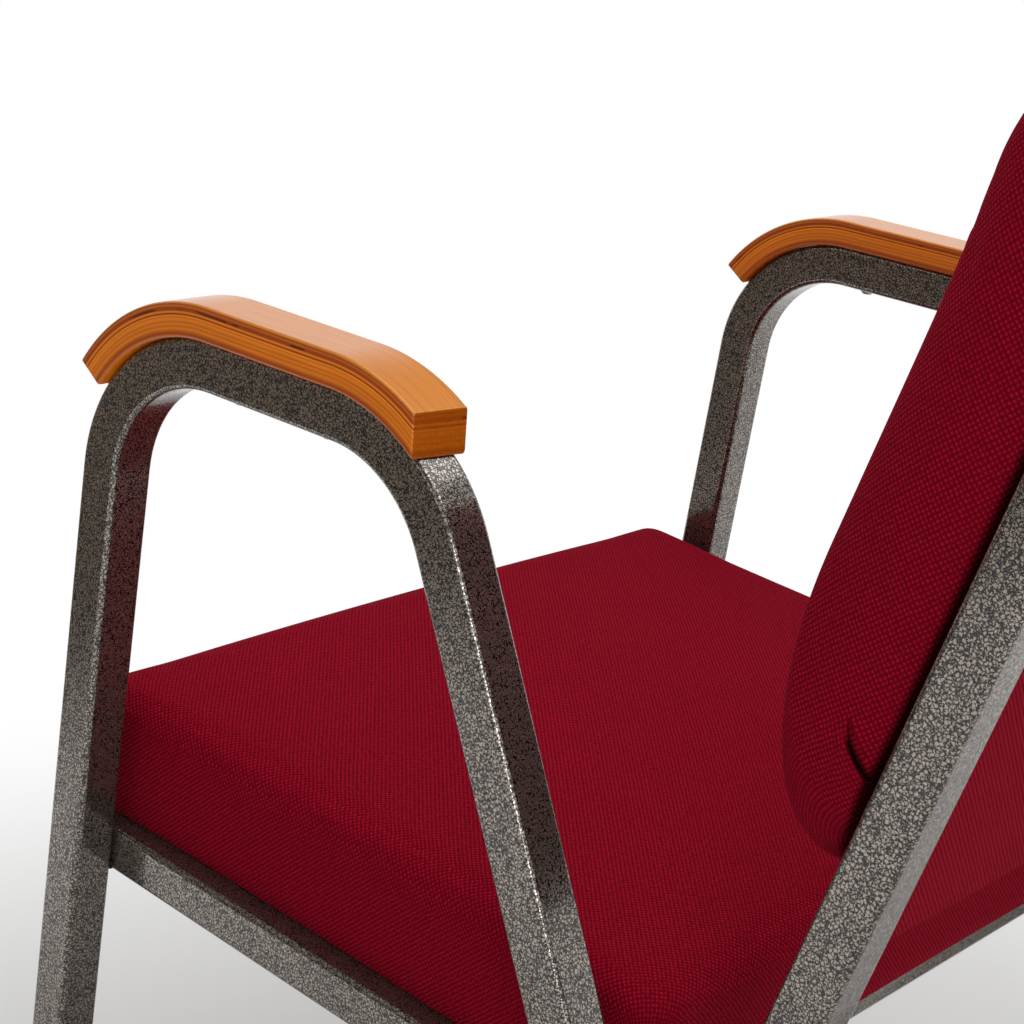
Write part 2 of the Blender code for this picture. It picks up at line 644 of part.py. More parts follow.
def main():
    """Build the chair on a cleared scene."""
    for old in list(bpy.data.objects):
        bpy.data.objects.remove(old)
    coat = finish("vein_powder_coat", "5F5850", 0.38, 0.55)
    wood = finish("stained_bent_plywood", "BC6A26", 0.32)
    fabric = finish("burgundy_weave", "7E0A20", 0.85)
    ply = finish("bare_plywood", "C8A878", 0.70)
    cloth = finish("black_dust_cloth", "1B1A1A", 0.95)
    plastic = finish("black_plastic", "1E1E1F", 0.50)
    steel = finish("zinc_plated_steel", "A9ABAE", 0.35, 1.0)
    chair = axes_empty("chair", Matrix.Identity(4))
    seat = axes_empty("seat_axes", SeatPlane.axes, chair)
    back = axes_empty("back_axes", BackPlane.axes, chair)
    make_side_frames(chair, coat)
    make_armrests(chair, wood, steel)
    make_glides(chair, plastic)
    make_hoop(chair, coat)
    make_seat_rails(seat, coat)
    make_seat_board(seat, ply, steel, cloth)
    make_seat_cushion(seat, fabric)
    make_back_structure(back, coat, ply, fabric, steel, plastic)
    make_back_cushion(back, fabric)
    centre_on_floor(chair)


main()
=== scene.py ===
"""Looks of a church armchair: a bent square-tube frame in a vein powder coat, bent-plywood
armrests, and a seat and back in a burgundy dotted weave. Metres; the sitter faces -Y."""
import json
import math

import bmesh
import bpy
from bpy.props import FloatProperty, FloatVectorProperty, PointerProperty
from mathutils import Matrix, Vector


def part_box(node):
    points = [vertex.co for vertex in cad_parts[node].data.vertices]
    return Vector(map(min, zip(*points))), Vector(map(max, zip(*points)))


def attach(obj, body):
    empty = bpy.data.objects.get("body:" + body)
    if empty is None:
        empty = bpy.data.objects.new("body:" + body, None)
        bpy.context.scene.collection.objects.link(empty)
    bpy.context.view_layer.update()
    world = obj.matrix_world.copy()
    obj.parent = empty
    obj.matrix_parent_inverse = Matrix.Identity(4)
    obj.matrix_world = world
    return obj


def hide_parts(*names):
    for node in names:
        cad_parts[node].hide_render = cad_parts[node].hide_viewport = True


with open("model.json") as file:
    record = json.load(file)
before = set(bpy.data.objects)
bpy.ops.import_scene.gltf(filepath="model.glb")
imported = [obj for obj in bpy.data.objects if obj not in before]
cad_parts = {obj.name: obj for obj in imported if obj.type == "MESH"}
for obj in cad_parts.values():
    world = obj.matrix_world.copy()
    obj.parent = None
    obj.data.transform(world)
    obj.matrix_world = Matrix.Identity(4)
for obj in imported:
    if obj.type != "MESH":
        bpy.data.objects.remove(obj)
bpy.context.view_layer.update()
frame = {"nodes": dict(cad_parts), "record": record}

bl_info = {
    "name": "Church Armchair",
    "version": (1, 0, 0),
    "blender": (4, 5, 0),
    "location": "View3D > Sidebar > Chair",
    "description": "Dresses the packed church armchair in its coat, wood and upholstery",
    "category": "Object",
}

X_AXIS = Vector((1.0, 0.0, 0.0))
Y_AXIS = Vector((0.0, 1.0, 0.0))
FIT = 0.0003  # gap between faces that meet
MERGE = 1e-6  # points closer than this are one
SHARP, PANEL_SHARP = math.radians(40), math.radians(50)  # edges that turn more than this stay crisp

# Steps round a bend, a section's corner, half a pad's corner, an eased end, and up and over a pad's edge.
BEND_STEPS, CORNER_STEPS, HALF_CORNER_STEPS, EASE_STEPS = 30, 5, 16, 3
SEAT_SIDE_STEPS, SEAT_ROLL_STEPS, BACK_TUCK_STEPS, BACK_ROLL_STEPS, PANEL_ROLL_STEPS = 9, 8, 6, 12, 8

# Armrests: bend past the rear end that is then sawn off, sides that only an end face has more of, and the right
# one's place in the veneer, from the left one's.
REAR_OVERRUN = math.radians(14)
END_SIDES = 8
OTHER_VENEER = Vector((0.7, 0.05, 0.0))

# Covers: spacing of their points, and the foam under them. It presses for so many frames, and moves no point further
# than the cover gives.
CLOTH_GRID = 0.0052
FOAM = {"use_pressure": True, "uniform_pressure_force": 0.7, "quality": 6, "mass": 0.3, "tension_stiffness": 30.0,
        "compression_stiffness": 30.0, "bending_stiffness": 2.0}
FOAM_FRAMES = 20
COVER_GIVE = 0.0015

# Lip of the seat's cover round its board: rings under it in widths of the lip, its rise, where the side starts over
# the rails, and the share of the lip that is gone there.
LIP_RINGS = (2.3, 1.5)
LIP_RISE, SIDE_START, LIP_GONE = 0.001, 0.004, 0.2

# Rear panel: radius of its lower corners, chamfer of its hidden edge, and swell of its middle.
PANEL_CORNER, PANEL_CHAMFER, PANEL_SWELL = 0.012, 0.001, 0.0012

# Pleat in the back's cover at a lower corner. The crease runs in to the tube, as depth off the tube and height up the
# back; the cloth round it, beyond a distance from the middle, is cut finer.
CREASE = [Vector(p) for p in ((0.024, 0.1690), (0.019, 0.1635), (0.011, 0.1560), (0.0, 0.1490))]
FINER_OUT, FINER_DEPTH, FINER_LOW, FINER_HIGH, FINER_CUTS = 0.215, 0.045, 0.115, 0.195, 3
PLEAT_OUT, PLEAT_FADE, PLEAT_TAPER = 0.218, 0.02, 3.0  # where it starts, and how soon it is full
DIP, DIP_REACH = 0.0025, 0.006  # of the cloth over the crease
BULGE, BULGE_REACH = 0.005, 0.018  # of the cloth under it
# SLIT_SHADE and GROOVE_SHADE set painted shade in the cloth down the pleat's slit, and in a band along the tube up to
# GROOVE off it that fades over GROOVE_FADE.
SLIT, SLIT_WIDTH, SLIT_SHADE = 0.005, 0.0012, 1.6
GROOVE, GROOVE_FADE, GROOVE_SHADE = 0.008, 0.003, 0.9  # along the tube

# Stage: floor, camera sensor in millimetres, lamps as name, place, size and share of the key's power, and a flag.
FLOOR_SIZE, SENSOR = 24.0, 36.0
LAMPS = (("overhead_softbox", (-0.2, 0.3, 2.3), 2.2, 1.0), ("near_softbox", (1.45, 1.45, 0.95), 0.6, 0.2))
LAMP_AIM = Vector((0.0, 0.0, 0.45))
FLAG_PLACE, FLAG_TURN, FLAG_SCALE = (1.19, -0.76, 0.6), (math.pi / 2, 0.0, 0.9), (3.4, 1.2, 1.0)


def linear(hex_colour):
    """Linear colour of an sRGB hex value."""
    channels = [int(hex_colour[i:i + 2], 16) / 255 for i in (0, 2, 4)]
    return [c / 12.92 if c <= 0.04045 else ((c + 0.055) / 1.055) ** 2.4 for c in channels]


def length(name, description, default):
    """Length property in metres."""
    return FloatProperty(name=name, description=description, default=default, unit="LENGTH", precision=4)


def angle(name, description, degrees):
    """Angle property."""
    return FloatProperty(name=name, description=description, default=math.radians(degrees), subtype="ANGLE")


def colour(name, description, hex_colour):
    """Colour property from an sRGB hex value."""
    return FloatVectorProperty(name=name, description=description, default=linear(hex_colour),
                               subtype="COLOR", min=0.0, max=1.0)


class ChairFrameSizes(bpy.types.PropertyGroup):
    """Sizes of the bent tubes."""
    tube: length("Tube", "Width of the square tube", 0.025)
    corner: length("Tube corner", "Radius of the tube's long edges", 0.0032)
    arm_height: length("Arm height", "Outer line of the arm at its front, over the floor", 0.6898)
    arm_length: length("Arm length", "Outer line of the arm between its two corners", 0.222)
    arm_slope: angle("Arm slope", "Fall of the arm to the rear", 3.2)
    arm_bend: length("Arm bend", "Centre-line radius of the arm's bends", 0.0762)
    front_lean: angle("Front leg lean", "Lean of the front leg to the rear", 6.8)
    rear_lean: angle("Rear leg lean", "Lean of the rear leg to the front", 23.0)
    glide_foot: length("Glide foot", "Height of the glide under a leg", 0.007)
    seat_bend: length("Seat bend", "Centre-line radius between seat rail and back", 0.0508)
    top_bend: length("Top bend", "Centre-line radius of the back's upper corners", 0.0635)
    back_height: length("Back height", "Top of the back over the floor", 0.890)
    back_recline: angle("Back recline", "Lean of the back from upright", 18.1)


class ChairArmrestSizes(bpy.types.PropertyGroup):
    """Sizes of the bent-plywood armrests."""
    overhang: length("Overhang", "Reach of the wood past each side of the tube", 0.0038)
    thickness: length("Thickness", "Thickness of the plywood", 0.0171)
    edge: length("Edge", "Rounding of the long edges", 0.0016)
    end_edge: length("End edge", "Rounding of the end faces", 0.0009)
    end_skew: angle("End skew", "Turn of the rear end's saw cut from square", 3.5)
    front_wrap: angle("Front wrap", "Turn of the wood over the front bend", 56.5)
    rear_wrap: angle("Rear wrap", "Turn of the wood over the rear bend", 34.0)


class ChairSeatSizes(bpy.types.PropertyGroup):
    """Sizes of the seat."""
    height: length("Height", "Front edge of the seat's top plane over the floor", 0.4725)
    slope: angle("Slope", "Fall of the seat to the rear", 5.4)
    width: length("Width", "Width of the cushion", 0.490)
    depth: length("Depth", "Depth of the cushion", 0.399)
    thickness: length("Thickness", "Top plane over the rails", 0.070)
    overhang: length("Overhang", "Reach of the cushion past the front legs", 0.023)
    reveal: length("Reveal", "Gap between the cushion's side and the side frame", 0.0105)
    rear_gap: length("Rear gap", "Gap between the cushion and the back's bend", 0.0031)
    crown: length("Crown", "Rise of the middle over the edges", 0.006)
    edge_crown: length("Edge crown", "Rise of the front and rear edges between their corners", 0.003)
    crown_depth: length("Crown depth", "Depth of cushion over which that rise builds up", 0.030)
    edge: length("Edge roll", "Rounding of the side and rear edges", 0.010)
    front_roll: length("Front roll", "Reach of the front edge's rounding", 0.014)
    front_corner: length("Front corner", "Plan radius of the front corners", 0.007)
    rear_corner: length("Rear corner", "Plan radius of the rear corners", 0.022)
    draw_in: length("Draw-in", "How far the sides pull in between the corners", 0.003)
    front_bow: length("Front bow", "How far the front bows out between its corners", 0.0012)
    board: length("Board", "Thickness of the seat board", 0.012)
    board_inset: length("Board inset", "Edge of the board inside the cushion's edge", 0.006)
    turn_under: length("Turn-under", "How far the cover is turned in under its board", 0.036)


class ChairBackSizes(bpy.types.PropertyGroup):
    """Sizes of the back."""
    pad: length("Pad", "Depth of the cushion in front of the tube", 0.067)
    gap: length("Gap", "Shadow gap between cushion and tube", 0.003)
    inset: length("Inset", "Edge of the cushion inside the tube's outer line", 0.006)
    rise: length("Rise", "Lower edge of the cushion up the back", 0.0955)
    crown: length("Crown", "Swell of the cushion's middle", 0.010)
    tuck: length("Tuck", "Depth over which the cover rounds in behind", 0.016)
    side_roll: length("Side roll", "Reach of the side edges' rounding", 0.022)
    top_roll: length("Top roll", "Reach of the top edge's rounding", 0.060)
    lower_roll: length("Lower roll", "Reach of the lower edge's rounding", 0.118)
    lower_corner: length("Lower corner", "Radius of the lower corners", 0.034)
    draw_in: length("Draw-in", "How far the sides pull in between the corners", 0.0015)
    rear_round: length("Rear rounding", "How far the cover rounds in behind to its board", 0.0062)
    cloth_turn: angle("Cloth turn", "Turn of the weave from the back's upright", 9.0)
    board: length("Board", "Thickness of the back board", 0.010)
    board_inset: length("Board inset", "Edge of the board inside the cushion's edge", 0.007)
    panel_roll: length("Panel roll", "Rounding of the rear panel's edge", 0.005)


class ChairFinishes(bpy.types.PropertyGroup):
    """Colours of the finishes, and the weave's pitch."""
    coat_silver: colour("Coat silver", "Silver of the powder coat", "A99E93")
    coat_vein: colour("Coat vein", "Black veins of the powder coat", "120E0C")
    wood_light: colour("Light ply", "Lighter plies of the armrest", "F58410")
    wood_dark: colour("Dark ply", "Darker plies of the armrest", "A84402")
    wood_face: colour("Face veneer", "Face veneer of the armrest", "D27D19")
    wood_end: colour("End grain", "Stain soaked into the armrest's ends", "A04E0C")
    weave_top: colour("Weave", "Raised dots of the weave", "B2102E")
    weave_gap: colour("Weave gap", "Ground between the dots", "6C0516")
    weave_pitch: length("Weave pitch", "Distance between the rows of dots", 0.00207)
    board_wood: colour("Board", "Bare plywood of the boards", "C8A878")
    dust_cloth: colour("Dust cloth", "Cloth under the seat", "1B1A1A")
    plastic: colour("Plastic", "Glides and clips", "1E1E1F")
    zinc: colour("Zinc", "Plated fasteners", "A9ABAE")


class ChairStage(bpy.types.PropertyGroup):
    """Camera, floor and light."""
    place: FloatVectorProperty(name="Camera place", description="Where the camera stands",
                               default=(0.95644, 0.60811, 0.90930), unit="LENGTH")
    turn: FloatVectorProperty(name="Camera turn", description="How the camera is turned",
                              default=[math.radians(a) for a in (73.6921, -3.7418, 131.6253)],
                              subtype="EULER")
    lens: FloatProperty(name="Lens", description="Focal length in millimetres", default=78.36)
    floor: colour("Floor", "Pale studio floor", "E9E8E6")
    fill: FloatProperty(name="Fill", description="Strength of the even light from all round", default=0.57)
    ceiling: FloatProperty(name="Ceiling", description="Share of that light that comes from overhead", default=0.4)
    key: FloatProperty(name="Key", description="Power of the overhead softbox in watts", default=33.0)


class Bend:
    """Arc that rounds the corner of a bent line."""

    def __init__(self, before, corner, after, radius):
        self.into = (corner - before).normalized()
        self.onward = (after - corner).normalized()
        self.turn = self.into.angle(self.onward)
        self.axis = self.into.cross(self.onward).normalized()
        reach = radius * math.tan(self.turn / 2)
        self.start = corner - self.into * reach
        self.end = corner + self.onward * reach
        self.centre = self.start + self.axis.cross(self.into) * radius


class Layout:
    """Lines that the pieces follow, worked out from the chair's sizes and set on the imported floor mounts."""

    def __init__(self, scene):
        tubes, seat = scene.chair_frame, scene.chair_seat
        mounts = {mount["name"]: Vector(mount["pos_m"]) for mount in frame["record"]["mounts"]}
        foot = mounts["floor_front_left"]
        self.half = half = tubes.tube / 2
        self.frame_x = foot.x
        front_up = Vector((0, math.sin(tubes.front_lean), math.cos(tubes.front_lean)))
        rear_up = Vector((0, -math.sin(tubes.rear_lean), math.cos(tubes.rear_lean)))
        self.arm_back = Vector((0, math.cos(tubes.arm_slope), -math.sin(tubes.arm_slope)))
        front_top = front_up * (tubes.arm_height / front_up.z)
        rear_top = front_top + self.arm_back * tubes.arm_length
        front = self.inner_corner(front_up, front_top, self.arm_back, half)
        rear = self.inner_corner(self.arm_back, rear_top, -rear_up, half)
        toe = front - front_up * ((front.z - tubes.glide_foot) / front_up.z)
        heel = rear - rear_up * ((rear.z - tubes.glide_foot) / rear_up.z)
        shift = Vector((0, foot.y - toe.y, 0))
        self.arm_corners = [point + shift for point in (toe - front_up * half, front, rear, heel - rear_up * half)]
        self.front_bend = Bend(*self.arm_corners[:3], tubes.arm_bend)
        self.rear_bend = Bend(*self.arm_corners[1:], tubes.arm_bend)

        seat_front = Vector((0, seat.height * math.tan(tubes.front_lean) - seat.overhang, seat.height)) + shift
        self.seat = Matrix.Translation(seat_front) @ Matrix.Rotation(-seat.slope, 4, "X")
        self.rail_out = seat.width / 2 + seat.reveal
        rail_middle = -seat.thickness - half
        leg = self.seat.inverted() @ self.arm_corners[1]
        leg_up = self.seat.to_3x3().inverted() @ front_up
        rail_start = (leg + leg_up * ((rail_middle - leg.z) / leg_up.z)).y + half + FIT
        turn = math.pi / 2 - tubes.back_recline + seat.slope
        bend_corner = seat.depth + seat.rear_gap + tubes.seat_bend * math.tan(turn / 2)
        lean = math.pi / 2 - turn
        face = bend_corner - rail_middle * math.tan(lean) - half / math.cos(lean)
        back_foot = self.seat @ Vector((0, face, 0))
        self.back = Matrix.Translation(back_foot) @ Matrix.Rotation(-tubes.back_recline, 4, "X")
        self.back_top = (tubes.back_height - back_foot.z) / math.cos(tubes.back_recline)
        rail = self.rail_out - half
        left = [self.seat @ Vector((rail, y, rail_middle)) for y in (rail_start, bend_corner)]
        left.append(self.back @ Vector((rail, half, self.back_top - half)))
        self.hoop_corners = left + [Vector((-p.x, p.y, p.z)) for p in reversed(left)]
        self.hoop_bends = (tubes.seat_bend, tubes.top_bend, tubes.top_bend, tubes.seat_bend)

    @staticmethod
    def inner_corner(into, corner, onward, depth):
        """Corner of a bent line drawn a depth inside another."""
        return corner + (onward - into).normalized() * depth / math.cos(into.angle(onward) / 2)

    def along_arm(self, point):
        """(distance along the arm's bent centre line, height over it) of a point, from the front bend's end."""
        front, rear = self.front_bend, self.rear_bend
        for bend, edge, sign in ((front, front.end, -1), (rear, rear.start, 1)):
            if (point - edge).dot(self.arm_back) * sign > 0:
                spoke = Vector((0, point.y - bend.centre.y, point.z - bend.centre.z))
                upright = edge - bend.centre
                start = (edge - front.end).length
                return start + sign * upright.length * spoke.angle(upright), spoke.length - upright.length
        offset = point - front.end
        return offset.dot(self.arm_back), offset.dot(X_AXIS.cross(self.arm_back))


def add_node(tree, kind, inputs=None, stops=None, **settings):
    """Add one shader node: settings are its own fields, stops are a ramp's colours, and inputs are what goes into its
    sockets: a value, another node's socket, or another node, which gives its first live output."""
    made = tree.nodes.new("ShaderNode" + kind)
    for name, value in settings.items():
        setattr(made, name, value)
    for socket, value in (inputs or {}).items():
        if isinstance(value, bpy.types.Node):
            value = next(output for output in value.outputs if output.enabled)
        if isinstance(value, bpy.types.NodeSocket):
            tree.links.new(value, made.inputs[socket])
        else:
            made.inputs[socket].default_value = value
    if stops:
        elements = made.color_ramp.elements
        while len(elements) < len(stops):
            elements.new(1.0)
        for element, (position, shade) in zip(elements, stops):
            element.position = position
            element.color = (*shade, 1.0)
    return made


def new_material(name):
    """Material with an empty node tree, and that tree."""
    made = bpy.data.materials.new(name)
    made.use_nodes = True
    made.node_tree.nodes.clear()
    return made, made.node_tree


def vein_coat(finishes):
    """Silver vein powder coat: glossy silver islands about 2 mm wide, crawled apart by thin black veins."""
    made, tree = new_material("vein_powder_coat")
    place = add_node(tree, "TexCoord")
    drift = add_node(tree, "TexNoise", {"Vector": place.outputs["Object"], "Scale": 1 / 0.0014, "Detail": 1.0})
    bent = add_node(tree, "VectorMath", {0: drift.outputs["Color"], 1: (0.0024, 0.0024, 0.0024),
            2: place.outputs["Object"]}, operation="MULTIPLY_ADD")
    crawl = add_node(tree, "TexVoronoi", {"Vector": bent, "Scale": 1 / 0.0018}, feature="DISTANCE_TO_EDGE")
    grains = add_node(tree, "MapRange", {"Value": crawl, "From Min": 0.06, "From Max": 0.23},
            interpolation_type="SMOOTHSTEP")
    cloud = add_node(tree, "TexNoise", {"Vector": place.outputs["Object"], "Scale": 1 / 0.004, "Detail": 2.0})
    flake = add_node(tree, "MapRange", {"Value": cloud, "To Min": 0.7, "To Max": 1.15})
    share = add_node(tree, "Math", {0: grains, 1: flake}, operation="MULTIPLY", use_clamp=True)
    tint = add_node(tree, "Mix", {"Factor": share, "A": (*finishes.coat_vein, 1.0),
            "B": (*finishes.coat_silver, 1.0)}, data_type="RGBA")
    metal = add_node(tree, "MapRange", {"Value": grains, "To Min": 0.12, "To Max": 0.88})
    relief = add_node(tree, "Bump", {"Height": grains, "Strength": 0.2, "Distance": 0.0001})
    shader = add_node(tree, "BsdfPrincipled", {"Base Color": tint, "Metallic": metal, "Roughness": 0.16,
            "Normal": relief, "Coat Weight": 0.3, "Coat Roughness": 0.06})
    add_node(tree, "OutputMaterial", {"Surface": shader})
    return made


def bent_plywood(finishes, thickness):
    """Stained beech plywood: plies show as bands on the sides, the face veneer's grain runs along, satin lacquer."""
    made, tree = new_material("stained_bent_plywood")
    grain = add_node(tree, "Attribute", attribute_name="grain")
    parts = add_node(tree, "SeparateXYZ", {"Vector": grain.outputs["Vector"]})
    # fibres some 45 mm long and 1.3 mm wide, in a figure some 140 mm long, 17 mm wide and 5 mm deep
    fine = add_node(tree, "Mapping", {"Vector": grain.outputs["Vector"], "Scale": (22.0, 800.0, 800.0)})
    fibres = add_node(tree, "TexNoise", {"Vector": fine, "Scale": 1.0, "Detail": 3.0})
    broad = add_node(tree, "Mapping", {"Vector": grain.outputs["Vector"], "Scale": (7.0, 60.0, 190.0)})
    figure = add_node(tree, "TexNoise", {"Vector": broad, "Scale": 1.0, "Detail": 3.0, "Distortion": 0.3})
    wander = add_node(tree, "MapRange", {"Value": figure, "To Min": -0.03, "To Max": 0.03})
    level = add_node(tree, "MapRange", {"Value": parts.outputs["Z"], "From Min": -thickness / 2,
            "From Max": thickness / 2})
    band = add_node(tree, "Math", {0: level, 1: wander}, operation="ADD")
    dark, light, face = finishes.wood_dark, finishes.wood_light, finishes.wood_face
    brown = [(a + b) / 2 for a, b in zip(dark, light)]
    bright = [min(1.0, c * 1.22) for c in light]
    plies = add_node(tree, "ValToRGB", {"Fac": band}, stops=((0.00, light), (0.03, brown), (0.14, dark),
            (0.21, brown), (0.26, light), (0.33, brown), (0.37, light), (0.44, brown), (0.48, light), (0.55, light),
            (0.575, brown), (0.60, bright), (0.625, bright), (0.65, dark), (0.68, dark), (0.70, light),
            (0.735, light), (0.76, dark), (0.83, dark), (0.88, brown), (0.93, dark), (0.97, face)))
    checks = add_node(tree, "TexNoise", {"Vector": grain.outputs["Vector"], "Scale": 1 / 0.02, "Detail": 1.0})
    gaps = add_node(tree, "MapRange", {"Value": checks, "From Min": 0.56, "From Max": 0.60, "To Min": 1.0,
            "To Max": 0.3})
    seam = add_node(tree, "Math", {0: level, 1: 0.79, 2: 0.03}, operation="COMPARE")
    voids = add_node(tree, "Mix", {"Factor": seam, "A": 1.0, "B": gaps})
    streak = add_node(tree, "MapRange", {"Value": fibres, "From Min": 0.3, "From Max": 0.7, "To Min": 0.86,
            "To Max": 1.1})
    shade = add_node(tree, "Math", {0: streak, 1: voids}, operation="MULTIPLY")
    ends = add_node(tree, "Attribute", attribute_name="end_grain")
    soaked = add_node(tree, "Math", {0: ends.outputs["Fac"], 1: 0.72}, operation="MULTIPLY")
    stained = add_node(tree, "Mix", {"Factor": soaked, "A": plies, "B": (*finishes.wood_end, 1.0)},
            data_type="RGBA")
    tint = add_node(tree, "Mix", {"Factor": 1.0, "A": stained, "B": shade}, data_type="RGBA",
            blend_type="MULTIPLY")
    relief = add_node(tree, "Bump", {"Height": fibres, "Strength": 0.08, "Distance": 0.0002})
    shader = add_node(tree, "BsdfPrincipled", {"Base Color": tint, "Roughness": 0.34, "Specular IOR Level": 0.15,
            "Normal": relief, "Coat Weight": 0.6, "Coat Roughness": 0.12})
    add_node(tree, "OutputMaterial", {"Surface": shader})
    return made


def dotted_weave(finishes):
    """Polyester crepe weave: raised dots in a square lattice turned by 45 degrees to the cloth's edge, fine fuzz."""
    made, tree = new_material("burgundy_dotted_weave")
    cloth = add_node(tree, "Attribute", attribute_name="weave")
    pitch = 1 / finishes.weave_pitch
    laid = add_node(tree, "Mapping", {"Vector": cloth.outputs["Vector"], "Scale": (pitch, pitch, pitch),
            "Rotation": (0.0, 0.0, math.radians(45))})
    dots = add_node(tree, "TexVoronoi", {"Vector": laid, "Scale": 1.0, "Randomness": 0.16},
            voronoi_dimensions="2D")
    height = add_node(tree, "MapRange", {"Value": dots, "From Min": 0.55, "From Max": 0.08},
            interpolation_type="SMOOTHSTEP")
    yarn = add_node(tree, "TexNoise", {"Vector": laid, "Scale": 3.1, "Detail": 2.0})
    lift = add_node(tree, "Math", {0: yarn, 1: 0.25, 2: height}, operation="MULTIPLY_ADD")
    patch = add_node(tree, "TexNoise", {"Vector": cloth.outputs["Vector"], "Scale": 1 / 0.05, "Detail": 2.0})
    wear = add_node(tree, "MapRange", {"Value": patch, "To Min": 0.88, "To Max": 1.12})
    each = add_node(tree, "MapRange", {"Value": dots.outputs["Color"], "To Min": 0.7, "To Max": 1.2})
    rubbed = add_node(tree, "Math", {0: wear, 1: each}, operation="MULTIPLY")
    share = add_node(tree, "Math", {0: height, 1: rubbed}, operation="MULTIPLY", use_clamp=True)
    tint = add_node(tree, "Mix", {"Factor": share, "A": (*finishes.weave_gap, 1.0),
            "B": (*finishes.weave_top, 1.0)}, data_type="RGBA")
    # Painted shade: the fold attribute darkens the cloth towards near black down the pleat's slit and in the groove
    # along the tube.
    fold = add_node(tree, "Attribute", attribute_name="fold")
    painted_shade_tint = add_node(tree, "Mix", {"Factor": fold.outputs["Fac"], "A": tint, "B": (0.002, 0.0, 0.0, 1.0)},
            data_type="RGBA")
    relief = add_node(tree, "Bump", {"Height": lift, "Strength": 1.0, "Distance": 0.0005})
    shader = add_node(tree, "BsdfPrincipled", {"Base Color": painted_shade_tint, "Roughness": 0.9, "Specular IOR Level": 0.03,
            "Normal": relief, "Sheen Weight": 0.27, "Sheen Roughness": 0.2, "Sheen Tint": (0.7, 0.05, 0.1, 1.0)})
    add_node(tree, "OutputMaterial", {"Surface": shader})
    return made


def board_plywood(finishes):
    """Bare birch plywood: pale, with long soft grain and a dry matt face."""
    made, tree = new_material("bare_plywood")
    place = add_node(tree, "TexCoord")
    # grain some 70 mm long and 4.5 mm wide
    along = add_node(tree, "Mapping", {"Vector": place.outputs["Object"], "Scale": (220.0, 14.0, 220.0)})
    grain = add_node(tree, "TexNoise", {"Vector": along, "Scale": 1.0, "Detail": 4.0, "Distortion": 0.3})
    pale = finishes.board_wood
    tint = add_node(tree, "ValToRGB", {"Fac": grain}, stops=((0.3, [c * 0.68 for c in pale]), (0.5, pale),
            (0.75, [min(1.0, c * 1.15) for c in pale])))
    relief = add_node(tree, "Bump", {"Height": grain, "Strength": 0.2, "Distance": 0.0002})
    shader = add_node(tree, "BsdfPrincipled", {"Base Color": tint, "Roughness": 0.72, "Normal": relief})
    add_node(tree, "OutputMaterial", {"Surface": shader})
    return made


def nonwoven_cloth(finishes):
    """Black non-woven polypropylene: matted fibres with rows of small bonded dimples."""
    made, tree = new_material("nonwoven_dust_cloth")
    place = add_node(tree, "TexCoord")
    fibres = add_node(tree, "TexNoise", {"Vector": place.outputs["Object"], "Scale": 1 / 0.0012, "Detail": 3.0})
    bonds = add_node(tree, "TexVoronoi", {"Vector": place.outputs["Object"], "Scale": 1 / 0.003,
            "Randomness": 0.1})
    both = add_node(tree, "Math", {0: fibres, 1: bonds}, operation="MULTIPLY")
    black = finishes.dust_cloth
    tint = add_node(tree, "ValToRGB", {"Fac": both}, stops=((0.05, [c * 0.6 for c in black]),
            (0.35, [c * 1.7 for c in black])))
    relief = add_node(tree, "Bump", {"Height": both, "Strength": 0.6, "Distance": 0.0003})
    shader = add_node(tree, "BsdfPrincipled", {"Base Color": tint, "Roughness": 0.92, "Normal": relief})
    add_node(tree, "OutputMaterial", {"Surface": shader})
    return made


def moulded_plastic(finishes):
    """Moulded black polyethylene: waxy, with a fine spark-eroded grain and scuffs."""
    made, tree = new_material("moulded_black_plastic")
    place = add_node(tree, "TexCoord")
    grain = add_node(tree, "TexNoise", {"Vector": place.outputs["Object"], "Scale": 1 / 0.0006, "Detail": 2.0})
    scuff = add_node(tree, "TexNoise", {"Vector": place.outputs["Object"], "Scale": 1 / 0.006, "Detail": 4.0})
    tint = add_node(tree, "ValToRGB", {"Fac": scuff}, stops=((0.4, list(finishes.plastic)),
            (0.75, [c * 2.2 for c in finishes.plastic])))
    rough = add_node(tree, "MapRange", {"Value": scuff, "To Min": 0.42, "To Max": 0.62})
    relief = add_node(tree, "Bump", {"Height": grain, "Strength": 0.25, "Distance": 0.0001})
    shader = add_node(tree, "BsdfPrincipled", {"Base Color": tint, "IOR": 1.51, "Roughness": rough,
            "Normal": relief})
    add_node(tree, "OutputMaterial", {"Surface": shader})
    return made


def plated_steel(finishes):
    """Zinc-plated steel: bright, faintly spangled, with a soft uneven gloss."""
    made, tree = new_material("zinc_plated_steel")
    place = add_node(tree, "TexCoord")
    spangle = add_node(tree, "TexNoise", {"Vector": place.outputs["Object"], "Scale": 1 / 0.002, "Detail": 3.0})
    tint = add_node(tree, "ValToRGB", {"Fac": spangle}, stops=((0.3, [c * 0.75 for c in finishes.zinc]),
            (0.7, list(finishes.zinc))))
    rough = add_node(tree, "MapRange", {"Value": spangle, "To Min": 0.25, "To Max": 0.42})
    shader = add_node(tree, "BsdfPrincipled", {"Base Color": tint, "Metallic": 1.0, "Roughness": rough})
    add_node(tree, "OutputMaterial", {"Surface": shader})
    return made


def shared_material(name, maker, *values):
    """Material of that name, made once."""
    return bpy.data.materials.get(name) or maker(*values)


def clamped(value):
    """Value held between nought and one."""
    return max(0.0, min(1.0, value))


def quarter_round(steps):
    """(sine, one less cosine) at each step round a quarter turn, both of its ends among them."""
    swings = [math.pi / 2 * step / steps for step in range(steps + 1)]
    return [(math.sin(swing), 1 - math.cos(swing)) for swing in swings]


def make_active(piece):
    """Select one piece alone."""
    bpy.ops.object.select_all(action="DESELECT")
    piece.select_set(True)
    bpy.context.view_layer.objects.active = piece


